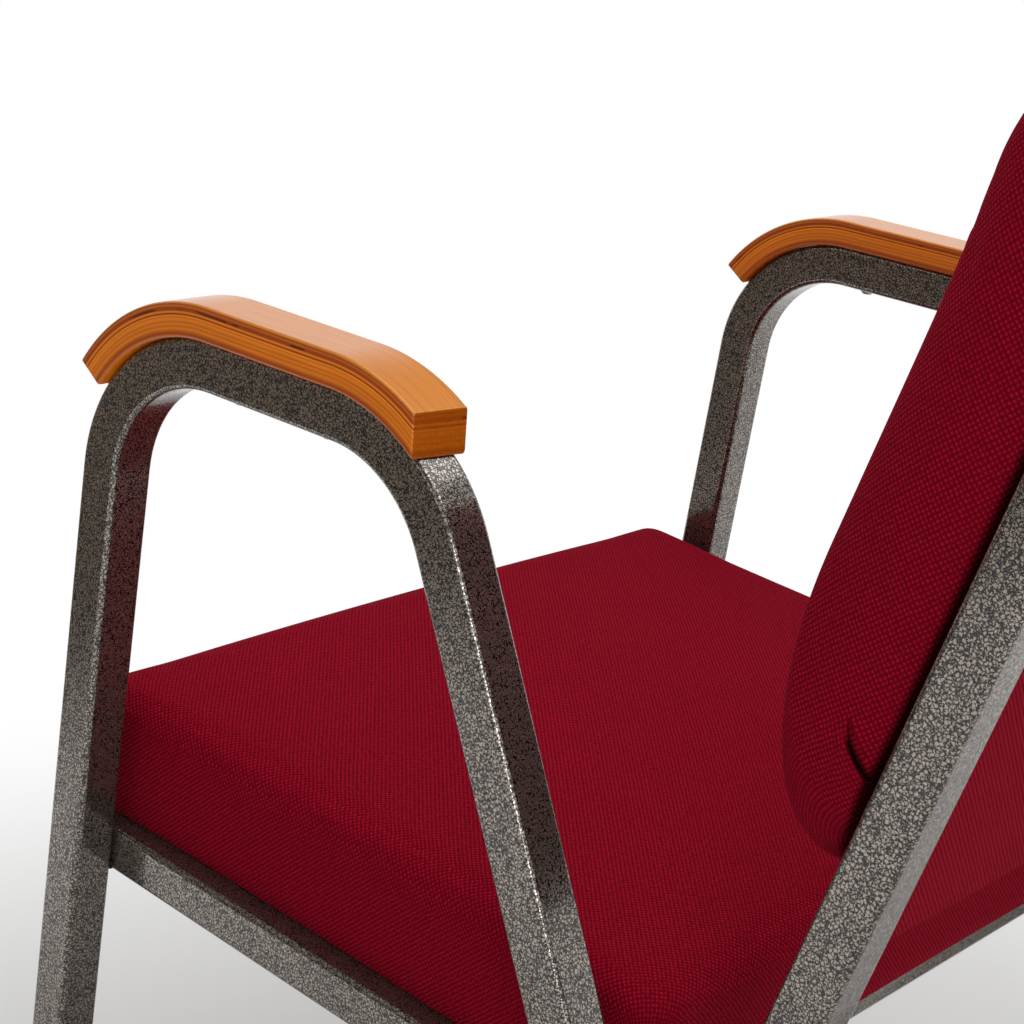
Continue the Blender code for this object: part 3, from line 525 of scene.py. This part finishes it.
def begin_section(name, centre, across, heading, width, depth, corner):
    """Start a piece as a flat rounded section, in edit mode and selected, facing the way it will be drawn out."""
    bpy.ops.object.select_all(action="DESELECT")
    bpy.ops.mesh.primitive_plane_add(size=1.0)
    piece = bpy.context.active_object
    piece.name = name
    piece.data.name = name
    place = Matrix((across * width, heading.cross(across) * depth, heading)).transposed().to_4x4()
    place.translation = centre
    piece.matrix_world = place
    bpy.ops.object.transform_apply(location=True, rotation=True, scale=True)
    bpy.ops.object.mode_set(mode="EDIT")
    bpy.ops.mesh.select_all(action="SELECT")
    bpy.ops.mesh.bevel(offset=corner, segments=CORNER_STEPS, affect="VERTICES")
    bpy.ops.mesh.select_mode(type="FACE")
    bpy.ops.mesh.select_all(action="SELECT")
    return piece


def draw_out(vector):
    """Extrude the selected section straight."""
    bpy.ops.mesh.extrude_region_move(TRANSFORM_OT_translate={"value": vector})


def bend_round(centre, axis, turn):
    """Spin the selected section round a bend; the operator turns the other way round its axis."""
    bpy.ops.mesh.spin(steps=BEND_STEPS, angle=-turn, center=centre, axis=axis)


def draw_tube(name, corners, radii, width, corner):
    """Square tube drawn along straights and bends, left in edit mode."""
    heading = (corners[1] - corners[0]).normalized()
    piece = begin_section(name, corners[0], X_AXIS, heading, width, width, corner)
    at = corners[0]
    for before, middle, after, radius in zip(corners, corners[1:], corners[2:], radii):
        bend = Bend(before, middle, after, radius)
        draw_out(bend.start - at)
        bend_round(bend.centre, bend.axis, bend.turn)
        at = bend.end
    draw_out(corners[-1] - at)
    return piece


def cut_away(point, normal):
    """Cut the piece in edit mode square at a plane and close it; what lies on the normal's side goes."""
    bpy.ops.mesh.select_all(action="SELECT")
    bpy.ops.mesh.bisect(plane_co=point, plane_no=normal, use_fill=True, clear_outer=True)


def close_piece(piece, material):
    """Leave edit mode with merged points and outward faces, smooth over small angles, and give the finish."""
    bpy.ops.mesh.select_all(action="SELECT")
    bpy.ops.mesh.remove_doubles(threshold=MERGE)
    bpy.ops.mesh.normals_make_consistent(inside=False)
    bpy.ops.object.mode_set(mode="OBJECT")
    bpy.ops.object.shade_smooth_by_angle(angle=SHARP)
    even = piece.modifiers.new("even_normals", "WEIGHTED_NORMAL")
    even.keep_sharp = True
    bpy.ops.object.modifier_apply(modifier=even.name)
    piece.data.materials.clear()
    piece.data.materials.append(material)
    return piece


def copy_across(piece, name):
    """Copy of a piece from the chair's left on its right; both are the same from side to side."""
    make_active(piece)
    bpy.ops.object.duplicate(linked=False)
    copy = bpy.context.active_object
    copy.name = name
    copy.data.name = name
    places = [vertex.co.x for vertex in copy.data.vertices]
    bpy.ops.transform.translate(value=(-(min(places) + max(places)), 0.0, 0.0))
    bpy.ops.object.transform_apply(location=True, rotation=True, scale=True)
    return copy


def stand_for(piece, slot, *nodes):
    """Ride on the chair in place of CAD nodes; the record slot is not used."""
    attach(piece, "root")
    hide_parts(*nodes)


def coat_nodes(material, slot):
    """Give every CAD node of a record slot its material."""
    for part in frame["record"]["subparts"]:
        if part["material_slot"] == slot:
            for held in frame["nodes"][part["node"]].material_slots:
                held.material = material


class CHAIR_OT_frame(bpy.types.Operator):
    """Bent side frames and the seat-and-back hoop in vein powder coat"""
    bl_idname = "chair.frame"
    bl_label = "Coated frame"

    def execute(self, context):
        scene = context.scene
        sizes = scene.chair_frame
        layout = Layout(scene)
        coat = shared_material("vein_powder_coat", vein_coat, scene.chair_finishes)
        coat_nodes(coat, "frame_coat")
        corners = [point + X_AXIS * layout.frame_x for point in layout.arm_corners]
        left = draw_tube("bent_side_frame_left", corners, (sizes.arm_bend, sizes.arm_bend), sizes.tube, sizes.corner)
        cut_away((0.0, 0.0, sizes.glide_foot), (0.0, 0.0, -1.0))
        close_piece(left, coat)
        right = copy_across(left, "bent_side_frame_right")
        hoop = draw_tube("bent_seat_back_hoop", layout.hoop_corners, layout.hoop_bends, sizes.tube, sizes.corner)
        close_piece(hoop, coat)
        stand_for(left, "frame_coat", "side_frame_left")
        stand_for(right, "frame_coat", "side_frame_right")
        stand_for(hoop, "frame_coat", "seat_back_hoop")
        return {"FINISHED"}


class CHAIR_OT_armrests(bpy.types.Operator):
    """Bent-plywood armrests wrapped over both bends of the arms"""
    bl_idname = "chair.armrests"
    bl_label = "Armrests"

    def execute(self, context):
        scene = context.scene
        sizes = scene.chair_armrests
        tube = scene.chair_frame.tube
        layout = Layout(scene)
        wood = shared_material("stained_bent_plywood", bent_plywood, scene.chair_finishes, sizes.thickness)
        lift = tube / 2 + FIT + sizes.thickness / 2
        front, rear = layout.front_bend, layout.rear_bend
        shift = X_AXIS * layout.frame_x
        eased = sizes.end_edge / (scene.chair_frame.arm_bend + lift)
        wrap = sizes.front_wrap - eased
        back = Matrix.Rotation(front.turn - wrap, 3, front.axis)
        spoke = (front.start - front.centre).normalized()
        start = front.centre + back @ spoke * (scene.chair_frame.arm_bend + lift) + shift
        width = tube + 2 * sizes.overhang
        left = begin_section("bent_armrest_left", start, X_AXIS, back @ front.into,
                             width, sizes.thickness, sizes.edge)
        bend_round(front.centre + shift, front.axis, wrap)
        draw_out(rear.start - front.end)
        bend_round(rear.centre + shift, rear.axis, sizes.rear_wrap + REAR_OVERRUN)
        rear_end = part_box("armrest_left")[1].y - sizes.end_edge
        cut_away((layout.frame_x, rear_end, 0.0), Y_AXIS + X_AXIS * math.tan(sizes.end_skew))
        self.ease_ends(sizes.end_edge)
        close_piece(left, wood)
        grain = left.data.attributes.new("grain", "FLOAT_VECTOR", "POINT")
        for vertex, cell in zip(left.data.vertices, grain.data):
            along, height = layout.along_arm(vertex.co - shift)
            cell.vector = (along, vertex.co.x - layout.frame_x, height - lift)
        ends = left.data.attributes.new("end_grain", "FLOAT", "POINT")
        for polygon in left.data.polygons:
            if len(polygon.vertices) > END_SIDES:
                for index in polygon.vertices:
                    ends.data[index].value = 1.0
        right = copy_across(left, "bent_armrest_right")
        for cell in right.data.attributes["grain"].data:
            cell.vector = cell.vector + OTHER_VENEER
        stand_for(left, "armrest_wood", "armrest_left")
        stand_for(right, "armrest_wood", "armrest_right")
        return {"FINISHED"}

    @staticmethod
    def ease_ends(edge):
        """Draw each end face out by an eased edge, as a quarter round."""
        shape = bmesh.from_edit_mesh(bpy.context.active_object.data)
        bpy.ops.mesh.select_all(action="DESELECT")
        for face in shape.faces:
            face.select = len(face.verts) > END_SIDES
        shape.select_flush_mode()
        turns = quarter_round(EASE_STEPS)
        for (out, sunk), (further, deeper) in zip(turns, turns[1:]):
            bpy.ops.mesh.inset(thickness=edge * (deeper - sunk), depth=edge * (further - out))


def rounded_outline(low, high, radii, spacing):
    """Outline between two corners as four evenly spaced sides, each from the middle of one rounded corner to the
    middle of the next; radii run anticlockwise from the low corner's."""
    corners = (low, (high[0], low[1]), high, (low[0], high[1]))
    inward = ((1, 1), (-1, 1), (-1, -1), (1, -1))
    counts = [round((high[0] - low[0]) / spacing), round((high[1] - low[1]) / spacing)] * 2
    sides = []
    for side, count in enumerate(counts):
        path = []
        for which, begun, turns in ((side, 0.5, HALF_CORNER_STEPS), ((side + 1) % 4, 1.0, HALF_CORNER_STEPS - 1)):
            for turn in range(turns + 1):
                swing = math.pi + (side + begun + turn / (2 * turns)) * math.pi / 2
                path.append(Vector((corners[which][0] + radii[which] * (inward[which][0] + math.cos(swing)),
                                    corners[which][1] + radii[which] * (inward[which][1] + math.sin(swing)))))
        steps = [(b - a).length for a, b in zip(path, path[1:])]
        spaced, walked, index = [], 0.0, 0
        for step in range(count):
            target = sum(steps) * step / count
            while walked + steps[index] < target:
                walked += steps[index]
                index += 1
            spaced.append(path[index].lerp(path[index + 1], (target - walked) / steps[index]))
        sides.append(spaced)
    return sides


def squeezed(sides, low, high, side, first, last):
    """Outline pressed into its own box less a margin at both sides, its low end and its high end."""
    scale = (high[1] - low[1] - first - last) / (high[1] - low[1])
    return [[Vector((p.x * (high[0] - side) / high[0], low[1] + first + (p.y - low[1]) * scale)) for p in points]
            for points in sides]


def drawn_in(sides, low, high, depth, bow):
    """Outline whose sides pull in between its corners, and whose low end bows out."""
    middle, reach = (low[1] + high[1]) / 2, (high[1] - low[1]) / 2
    pulled = []
    for points in sides:
        pulled.append([])
        for p in points:
            across, along = p.x / high[0], (p.y - middle) / reach
            pull = -bow if along < 0 else depth
            pulled[-1].append(Vector((p.x - depth * across * (1 - along ** 2),
                                      p.y - pull * along * (1 - across ** 2))))
    return pulled


def moved_in(sides, depth):
    """Outline moved in by a depth, square to itself all round."""
    points = [p for side in sides for p in side]
    moved = []
    for side in sides:
        moved.append([])
        for p in side:
            i = sum(len(done) for done in moved)
            along = points[(i + 1) % len(points)] - points[i - 1]
            moved[-1].append(p + Vector((-along.y, along.x)).normalized() * depth)
    return moved


def blended(sides, others, share):
    """Outline a share of the way from one to another."""
    return [[a.lerp(b, share) for a, b in zip(inner, outer)] for inner, outer in zip(sides, others)]


class PadForm:
    """Closed pad: rings from the pocket behind it, round its edge, to its face, which is a grid. Each point also
    has its place on the cloth laid flat."""

    def __init__(self, axes, lie, outlines, held, crown, turn=0.0):
        """Outlines are (sides, depth) from the pocket to the face's edge; the first held ones stay as they are.
        The cloth lies turned on the pad."""
        self.held = held * sum(len(points) for points in outlines[0][0])
        rings = [[lie(p, depth) for points in sides for p in points] for sides, depth in outlines]
        flat = [([p for points in sides for p in points], depth) for sides, depth in outlines]
        face = flat[-1][0]
        cloth = self.unrolled(flat)
        count = len(face)
        points = [p for ring in rings for p in ring]
        self.faces = [tuple(reversed(range(count)))]
        for start in range(0, len(points) - count, count):
            for i in range(count):
                k = (i + 1) % count
                self.faces.append((start + i, start + k, start + count + k, start + count + i))
        self.add_face(outlines[-1][0], outlines[-1][1], crown, lie, points, cloth)
        self.points = [axes @ p for p in points]
        self.cloth = [Matrix.Rotation(-turn, 3, "Z") @ place for place in cloth]

    @staticmethod
    def unrolled(rings):
        """Places on the flat cloth: the face as it is, and what wraps round the edge drawn out squarely from it."""
        face = rings[-1][0]
        count = len(face)
        outward = []
        for i in range(count):
            along = face[(i + 1) % count] - face[i - 1]
            outward.append(Vector((along.y, -along.x)).normalized())
        spare = [0.0] * count
        laid = [[p.copy() for p in face]]
        for (outer, low), (inner, high) in zip(reversed(rings[:-1]), reversed(rings[1:])):
            for i in range(count):
                spread = (outer[i] - inner[i]).dot(outward[i])
                spare[i] += math.hypot(spread, high - low) - spread
            laid.append([p + n * s for p, n, s in zip(outer, outward, spare)])
        return [p.to_3d() for ring in reversed(laid) for p in ring]

    def add_face(self, sides, depth, crown, lie, points, cloth):
        """Fill the last ring with a grid that swells by the crown."""
        wide, high = len(sides[0]), len(sides[1])
        first = len(points) - 2 * (wide + high)
        low, right, top, left = (sides[i] + sides[(i + 1) % 4][:1] for i in range(4))
        top, left = top[::-1], left[::-1]
        half = max(p.x for p in right)
        base, peak = min(p.y for p in low), max(p.y for p in top)
        middle, reach = (base + peak) / 2, (peak - base) / 2
        index = {}
        for i in range(wide + 1):
            index[i, 0] = first + i
            index[i, high] = first + 2 * wide + high - i
        for j in range(1, high):
            index[wide, j] = first + wide + j
            index[0, j] = first + 2 * (wide + high) - j
        for i in range(1, wide):
            for j in range(1, high):
                u, v = i / wide, j / high
                p = low[i] * (1 - v) + top[i] * v + left[j] * (1 - u) + right[j] * u
                p -= (low[0] * (1 - u) + low[-1] * u) * (1 - v) + (top[0] * (1 - u) + top[-1] * u) * v
                rise = crown * (1 - (p.x / half) ** 2) * (1 - ((p.y - middle) / reach) ** 2)
                index[i, j] = len(points)
                points.append(lie(p, depth + rise))
                cloth.append(p.to_3d())
        for i in range(wide):
            for j in range(high):
                self.faces.append((index[i, j], index[i + 1, j], index[i + 1, j + 1], index[i, j + 1]))

    def build(self, name, material):
        """Mesh object of the pad, faces outward, with its weave attribute."""
        mesh = bpy.data.meshes.new(name)
        mesh.from_pydata(self.points, [], self.faces)
        laid = mesh.attributes.new("weave", "FLOAT_VECTOR", "POINT")
        for cell, place in zip(laid.data, self.cloth):
            cell.vector = place
        shape = bmesh.new()
        shape.from_mesh(mesh)
        bmesh.ops.recalc_face_normals(shape, faces=shape.faces)
        shape.to_mesh(mesh)
        shape.free()
        mesh.materials.append(material)
        piece = bpy.data.objects.new(name, mesh)
        bpy.context.scene.collection.objects.link(piece)
        return piece


def swell(piece, held):
    """Press the cover out by its foam, as a cloth whose first points are held."""
    group = piece.vertex_groups.new(name="held")
    group.add(range(held), 1.0, "REPLACE")
    rest = [vertex.co.copy() for vertex in piece.data.vertices]
    foam = piece.modifiers.new("foam", "CLOTH")
    foam.settings.vertex_group_mass = group.name
    foam.settings.effector_weights.gravity = 0.0
    for name, value in FOAM.items():
        setattr(foam.settings, name, value)
    scene = bpy.context.scene
    for number in range(1, FOAM_FRAMES + 1):
        scene.frame_set(number)
    shaped = piece.evaluated_get(bpy.context.evaluated_depsgraph_get())
    moves = [vertex.co - start for vertex, start in zip(shaped.data.vertices, rest)]
    piece.modifiers.remove(foam)
    scene.frame_set(1)
    for vertex, start, move in zip(piece.data.vertices, rest, moves):
        vertex.co = start + (move * (COVER_GIVE / move.length) if move.length > COVER_GIVE else move)
    piece.vertex_groups.clear()


def refine(piece):
    """One applied subdivision and smooth shading; the pocket's flat end is left out of it and filled again after."""
    make_active(piece)
    bpy.ops.object.mode_set(mode="EDIT")
    bpy.ops.mesh.select_mode(type="FACE")
    bpy.ops.mesh.select_all(action="DESELECT")
    bpy.ops.mesh.select_face_by_sides(number=4, type="GREATER")
    bpy.ops.mesh.delete(type="ONLY_FACE")
    bpy.ops.object.mode_set(mode="OBJECT")
    finer = piece.modifiers.new("finer", "SUBSURF")
    finer.levels = finer.render_levels = 1
    bpy.ops.object.modifier_apply(modifier=finer.name)
    bpy.ops.object.mode_set(mode="EDIT")
    bpy.ops.mesh.select_mode(type="EDGE")
    bpy.ops.mesh.select_all(action="DESELECT")
    bpy.ops.mesh.select_non_manifold()
    bpy.ops.mesh.edge_face_add()
    bpy.ops.object.mode_set(mode="OBJECT")
    bpy.ops.object.shade_smooth()


def cover_foam(form, name, material):
    cushion = form.build(name, material)
    swell(cushion, form.held)
    refine(cushion)
    return cushion


class CHAIR_OT_seat_cushion(bpy.types.Operator):
    """Seat cushion: foam on its board under a taut cover"""
    bl_idname = "chair.seat_cushion"
    bl_label = "Seat cushion"

    def execute(self, context):
        scene = context.scene
        seat = scene.chair_seat
        layout = Layout(scene)
        weave = shared_material("burgundy_dotted_weave", dotted_weave, scene.chair_finishes)
        low, high = (-seat.width / 2, 0.0), (seat.width / 2, seat.depth)
        radii = (seat.front_corner, seat.front_corner, seat.rear_corner, seat.rear_corner)
        plain = rounded_outline(low, high, radii, CLOTH_GRID)
        plan = drawn_in(plain, low, high, seat.draw_in, seat.front_bow)
        floor = -seat.thickness + FIT
        wrap, lip = seat.board_inset - FIT, seat.draw_in / 2
        pocket = moved_in(plain, wrap)
        tuck = moved_in(plan, lip)
        under = squeezed(plain, low, high, seat.turn_under, seat.turn_under, seat.turn_under)
        upper, lower = floor - FIT / 3, floor - FIT * 2 / 3
        edge = [(pocket, floor + seat.board + FIT), (pocket, floor + seat.board / 2), (pocket, upper),
                (under, upper), (under, lower)]
        edge += [(moved_in(plan, widths * lip), lower) for widths in LIP_RINGS] + [(tuck, floor + LIP_RISE)]
        held = len(edge)
        start, end = floor + SIDE_START, -seat.edge
        for step in range(SEAT_SIDE_STEPS + 1):
            share = step / SEAT_SIDE_STEPS
            edge.append((blended(tuck, plan, min(1.0, LIP_GONE + share)), start + (end - start) * share))
        for rise, sunk in quarter_round(SEAT_ROLL_STEPS)[1:]:
            face = squeezed(plan, low, high, seat.edge * sunk, seat.front_roll * sunk, seat.edge * sunk)
            edge.append((face, seat.edge * (rise - 1)))

        def lie(p, depth):
            """Point of the seat, which rises between its sides towards the top."""
            share = clamped(1 + depth / seat.crown_depth)
            return Vector((p.x, p.y, depth + seat.edge_crown * share * (1 - (p.x / high[0]) ** 2)))

        form = PadForm(layout.seat, lie, edge, held, seat.crown)
        cushion = cover_foam(form, "seat_cushion_cover", weave)
        stand_for(cushion, "upholstery_fabric", "seat_cushion")
        return {"FINISHED"}


class CHAIR_OT_back_cushion(bpy.types.Operator):
    """Back cushion: a deep roll along its lower edge, and gathered lower corners"""
    bl_idname = "chair.back_cushion"
    bl_label = "Back cushion"

    def execute(self, context):
        scene = context.scene
        back = scene.chair_back
        layout = Layout(scene)
        weave = shared_material("burgundy_dotted_weave", dotted_weave, scene.chair_finishes)
        half = layout.rail_out - back.inset
        low, high = (-half, back.rise), (half, layout.back_top - back.inset)
        upper = scene.chair_frame.top_bend + layout.half - back.inset
        radii = (back.lower_corner, back.lower_corner, upper, upper)
        plain = rounded_outline(low, high, radii, CLOTH_GRID)
        plan = drawn_in(plain, low, high, back.draw_in, -back.draw_in)
        wrap, lip = back.board_inset - FIT, back.rear_round
        pocket = moved_in(plain, wrap)
        fold = moved_in(plain, wrap - FIT)
        edge = [(pocket, FIT + back.board + FIT), (pocket, back.board / 2), (pocket, 2 * FIT), (fold, 2 * FIT),
                (fold, back.gap)]
        held = len(edge)
        for out, sunk in quarter_round(BACK_TUCK_STEPS)[:-1]:
            edge.append((moved_in(blended(plain, plan, out), lip * (1 - out)), back.gap + back.tuck * sunk))
        for rise, sunk in quarter_round(BACK_ROLL_STEPS):
            face = squeezed(plan, low, high, back.side_roll * sunk, back.lower_roll * sunk, back.top_roll * sunk)
            edge.append((face, back.gap + (back.tuck + (back.pad - back.tuck) * rise)))
        form = PadForm(layout.back, lambda p, depth: Vector((p.x, -depth, p.y)), edge, held, back.crown,
                       back.cloth_turn)
        cushion = cover_foam(form, "back_cushion_cover", weave)
        self.pleat_corners(cushion, layout.back)
        stand_for(cushion, "upholstery_fabric", "back_cushion")
        return {"FINISHED"}

    @staticmethod
    def pleat_corners(cushion, axes):
        """Gather the cover at both lower corners: a crease runs in from the tube, and the cloth below it bulges.
        Painted shade, kept in the fold attribute, darkens the cloth down in the crease and in the groove along the
        tube."""
        inverse = axes.inverted()
        make_active(cushion)
        for polygon in cushion.data.polygons:
            place = inverse @ polygon.center
            polygon.select = (abs(place.x) > FINER_OUT and place.y > -FINER_DEPTH
                              and FINER_LOW < place.z < FINER_HIGH)
        bpy.ops.object.mode_set(mode="EDIT")
        bpy.ops.mesh.select_mode(type="FACE")
        bpy.ops.mesh.subdivide(number_cuts=FINER_CUTS, smoothness=1.0)
        bpy.ops.object.mode_set(mode="OBJECT")
        total = sum((b - a).length for a, b in zip(CREASE, CREASE[1:]))
        painted_shade = cushion.data.attributes.new("fold", "FLOAT", "POINT")
        for vertex in cushion.data.vertices:
            local = inverse @ vertex.co
            here = Vector((-local.y, local.z))
            near, walked = None, 0.0
            for a, b in zip(CREASE, CREASE[1:]):
                line = b - a
                share = clamped((here - a).dot(line) / line.length_squared)
                offset = here - (a + line * share)
                if near is None or offset.length < near[0]:
                    above = offset.x * line.y - offset.y * line.x > 0
                    near = (offset.length, above, (walked + line.length * share) / total)
                walked += line.length
            reach, above, along = near
            depth = clamped((abs(local.x) - PLEAT_OUT) / PLEAT_FADE) * min(1.0, along * PLEAT_TAPER)
            if above:
                move = -DIP * math.exp(-reach / DIP_REACH)
            else:
                move = BULGE * math.exp(-(reach / BULGE_REACH) ** 2)
            slit = math.exp(-(reach / SLIT_WIDTH) ** 2) * depth
            vertex.co.x += math.copysign(move * depth - SLIT * slit, local.x)
            # Painted shade: darkest next to the tube and down the slit.
            groove = clamped((GROOVE - here.x) / GROOVE_FADE)
            painted_shade.data[vertex.index].value = min(1.0, max(SLIT_SHADE * slit, GROOVE_SHADE * groove))


class CHAIR_OT_rear_panel(bpy.types.Operator):
    """Upholstered panel between the back tubes"""
    bl_idname = "chair.rear_panel"
    bl_label = "Rear panel"

    def execute(self, context):
        scene = context.scene
        back = scene.chair_back
        layout = Layout(scene)
        weave = shared_material("burgundy_dotted_weave", dotted_weave, scene.chair_finishes)
        inverse = layout.back.inverted()
        points = [inverse @ vertex.co for vertex in frame["nodes"]["back_rear_panel"].data.vertices]
        low = (min(p.x for p in points), min(p.z for p in points))
        high = (max(p.x for p in points), max(p.z for p in points))
        near, far = min(p.y for p in points), max(p.y for p in points)
        upper = scene.chair_frame.top_bend - layout.half
        plan = rounded_outline(low, high, (PANEL_CORNER, PANEL_CORNER, upper, upper), CLOTH_GRID)
        edge = [(squeezed(plan, low, high, *[PANEL_CHAMFER] * 3), near), (plan, near + PANEL_CHAMFER)]
        for rise, sunk in quarter_round(PANEL_ROLL_STEPS):
            face = squeezed(plan, low, high, *[back.panel_roll * sunk] * 3)
            edge.append((face, far - PANEL_SWELL - back.panel_roll * (1 - rise)))
        form = PadForm(layout.back, lambda p, depth: Vector((p.x, depth, p.y)), edge, len(edge), PANEL_SWELL)
        panel = form.build("rear_panel_cover", weave)
        make_active(panel)
        bpy.ops.object.shade_smooth_by_angle(angle=PANEL_SHARP)
        stand_for(panel, "upholstery_fabric", "back_rear_panel")
        return {"FINISHED"}


class CHAIR_OT_fixings(bpy.types.Operator):
    """Boards, dust cover, glides and fasteners in their own finishes"""
    bl_idname = "chair.fixings"
    bl_label = "Boards and fixings"

    def execute(self, context):
        finishes = context.scene.chair_finishes
        coat_nodes(board_plywood(finishes), "board_plywood")
        coat_nodes(nonwoven_cloth(finishes), "dust_cloth")
        coat_nodes(moulded_plastic(finishes), "glide_plastic")
        coat_nodes(plated_steel(finishes), "fastener_steel")
        return {"FINISHED"}


class CHAIR_OT_stage(bpy.types.Operator):
    """Camera at the photograph's view, pale floor and soft studio light"""
    bl_idname = "chair.stage"
    bl_label = "Stage"

    def execute(self, context):
        scene = context.scene
        stage = scene.chair_stage
        scene.view_settings.view_transform = "Standard"
        bpy.ops.object.select_all(action="DESELECT")
        bpy.ops.object.camera_add(location=stage.place, rotation=stage.turn)
        scene.camera = context.active_object
        scene.camera.data.lens = stage.lens
        scene.camera.data.sensor_width = SENSOR
        bpy.ops.mesh.primitive_plane_add(size=FLOOR_SIZE)
        floor = context.active_object
        floor.name = "studio_floor"
        floor.data.materials.append(self.floor_material(stage))
        self.light_world(scene, stage)
        for name, place, size, share in LAMPS:
            bpy.ops.object.light_add(type="AREA", location=place)
            lamp = context.active_object
            lamp.name = name
            lamp.data.shape = "SQUARE"
            lamp.data.size = size
            lamp.data.energy = stage.key * share
            lamp.rotation_euler = (LAMP_AIM - Vector(place)).to_track_quat("-Z", "Y").to_euler()
        self.stand_flag(context)
        return {"FINISHED"}

    @staticmethod
    def stand_flag(context):
        """Dark card to the left of the chair, out of the light, that only the glossy tubes and lacquer mirror; it
        glows a dim warm grey of its own, a painted reflection on them, and thins out to the floor."""
        bpy.ops.mesh.primitive_plane_add(size=1.0, location=FLAG_PLACE, rotation=FLAG_TURN)
        flag = context.active_object
        flag.name = "dark_flag"
        flag.scale = FLAG_SCALE
        made, tree = new_material("dark_card")
        place = add_node(tree, "TexCoord")
        rise = add_node(tree, "VectorMath", {0: place.outputs["Object"], 1: (-0.8, 1.0, 0.0)},
                operation="DOT_PRODUCT")
        fade = add_node(tree, "MapRange", {"Value": rise, "From Min": -0.43, "From Max": -0.28})
        glow = add_node(tree, "MapRange", {"Value": rise, "From Min": -0.28, "From Max": -0.16, "To Min": 0.66,
                "To Max": 1.0})
        clear = add_node(tree, "BsdfTransparent")
        # Painted reflection: the card's own glow, seen only in the glossy tubes and lacquer.
        card = add_node(tree, "Emission", {"Color": (0.26, 0.215, 0.175, 1.0), "Strength": glow})
        thin = add_node(tree, "MixShader", {0: fade, 1: clear, 2: card})
        add_node(tree, "OutputMaterial", {"Surface": thin})
        flag.data.materials.append(made)
        for rays in ("camera", "diffuse", "transmission", "shadow"):
            setattr(flag, f"visible_{rays}", False)

    @staticmethod
    def seen_rays(tree):
        """One for camera, mirror and glass rays, zero for the light that falls on surfaces."""
        rays = add_node(tree, "LightPath")
        some = add_node(tree, "Math", {0: rays.outputs["Is Camera Ray"], 1: rays.outputs["Is Glossy Ray"]},
                operation="MAXIMUM")
        return add_node(tree, "Math", {0: some, 1: rays.outputs["Is Transmission Ray"]}, operation="MAXIMUM")

    def floor_material(self, stage):
        """Matt pale studio floor that keeps the chair's shadow and runs out to white; clear from below."""
        made, tree = new_material("pale_studio_floor")
        place = add_node(tree, "TexCoord")
        away = add_node(tree, "VectorMath", {0: place.outputs["Object"]}, operation="LENGTH")
        fade = add_node(tree, "MapRange", {"Value": away, "From Min": 0.5, "From Max": 1.3},
                interpolation_type="SMOOTHSTEP")
        seen = add_node(tree, "Math", {0: fade, 1: self.seen_rays(tree)}, operation="MULTIPLY")
        matt = add_node(tree, "BsdfDiffuse", {"Color": (*stage.floor, 1.0)})
        white = add_node(tree, "Emission", {"Color": (1.0, 1.0, 1.0, 1.0), "Strength": 1.0})
        lit = add_node(tree, "MixShader", {0: seen, 1: matt, 2: white})
        side = add_node(tree, "NewGeometry")
        clear = add_node(tree, "BsdfTransparent")
        both = add_node(tree, "MixShader", {0: side.outputs["Backfacing"], 1: lit, 2: clear})
        add_node(tree, "OutputMaterial", {"Surface": both})
        return made

    def light_world(self, scene, stage):
        """White surroundings under a dimmer ceiling, seen as white and lighting the chair softly."""
        world = bpy.data.worlds.new("white_studio")
        world.use_nodes = True
        scene.world = world
        tree = world.node_tree
        tree.nodes.clear()
        round_about = add_node(tree, "TexCoord")
        rise = add_node(tree, "SeparateXYZ", {"Vector": round_about.outputs["Generated"]})
        ceiling = add_node(tree, "MapRange", {"Value": rise.outputs["Z"], "From Min": 0.35, "From Max": 0.65,
                "To Min": 1.0, "To Max": stage.ceiling}, interpolation_type="SMOOTHSTEP")
        even = add_node(tree, "MapRange", {"Value": self.seen_rays(tree), "To Min": stage.fill, "To Max": 1.0})
        strength = add_node(tree, "Math", {0: even, 1: ceiling}, operation="MULTIPLY")
        light = add_node(tree, "Background", {"Color": (1.0, 1.0, 1.0, 1.0), "Strength": strength})
        add_node(tree, "OutputWorld", {"Surface": light})


GROUPS = {"chair_frame": ChairFrameSizes, "chair_armrests": ChairArmrestSizes, "chair_seat": ChairSeatSizes,
          "chair_back": ChairBackSizes, "chair_finishes": ChairFinishes, "chair_stage": ChairStage}
OPERATORS = (CHAIR_OT_frame, CHAIR_OT_armrests, CHAIR_OT_seat_cushion, CHAIR_OT_back_cushion, CHAIR_OT_rear_panel,
             CHAIR_OT_fixings, CHAIR_OT_stage)


class CHAIR_PT_panel(bpy.types.Panel):
    """Sizes, finishes and makers of the chair"""
    bl_idname = "CHAIR_PT_panel"
    bl_label = "Church Armchair"
    bl_space_type = "VIEW_3D"
    bl_region_type = "UI"
    bl_category = "Chair"

    def draw(self, context):
        for operator in OPERATORS:
            self.layout.operator(operator.bl_idname)
        for key, group in GROUPS.items():
            box = self.layout.box()
            for field in group.__annotations__:
                box.prop(getattr(context.scene, key), field)


def register():
    """Register the classes and hang the settings on the scene."""
    for item in (*GROUPS.values(), *OPERATORS, CHAIR_PT_panel):
        bpy.utils.register_class(item)
    for key, group in GROUPS.items():
        setattr(bpy.types.Scene, key, PointerProperty(type=group))


def unregister():
    """Take the settings and classes away again."""
    for key in GROUPS:
        delattr(bpy.types.Scene, key)
    for item in reversed((*GROUPS.values(), *OPERATORS, CHAIR_PT_panel)):
        bpy.utils.unregister_class(item)


def main():
    """Dress the chair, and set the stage."""
    register()
    for operator in OPERATORS:
        area, name = operator.bl_idname.split(".")
        getattr(getattr(bpy.ops, area), name)()


if __name__ == "__main__":
    main()
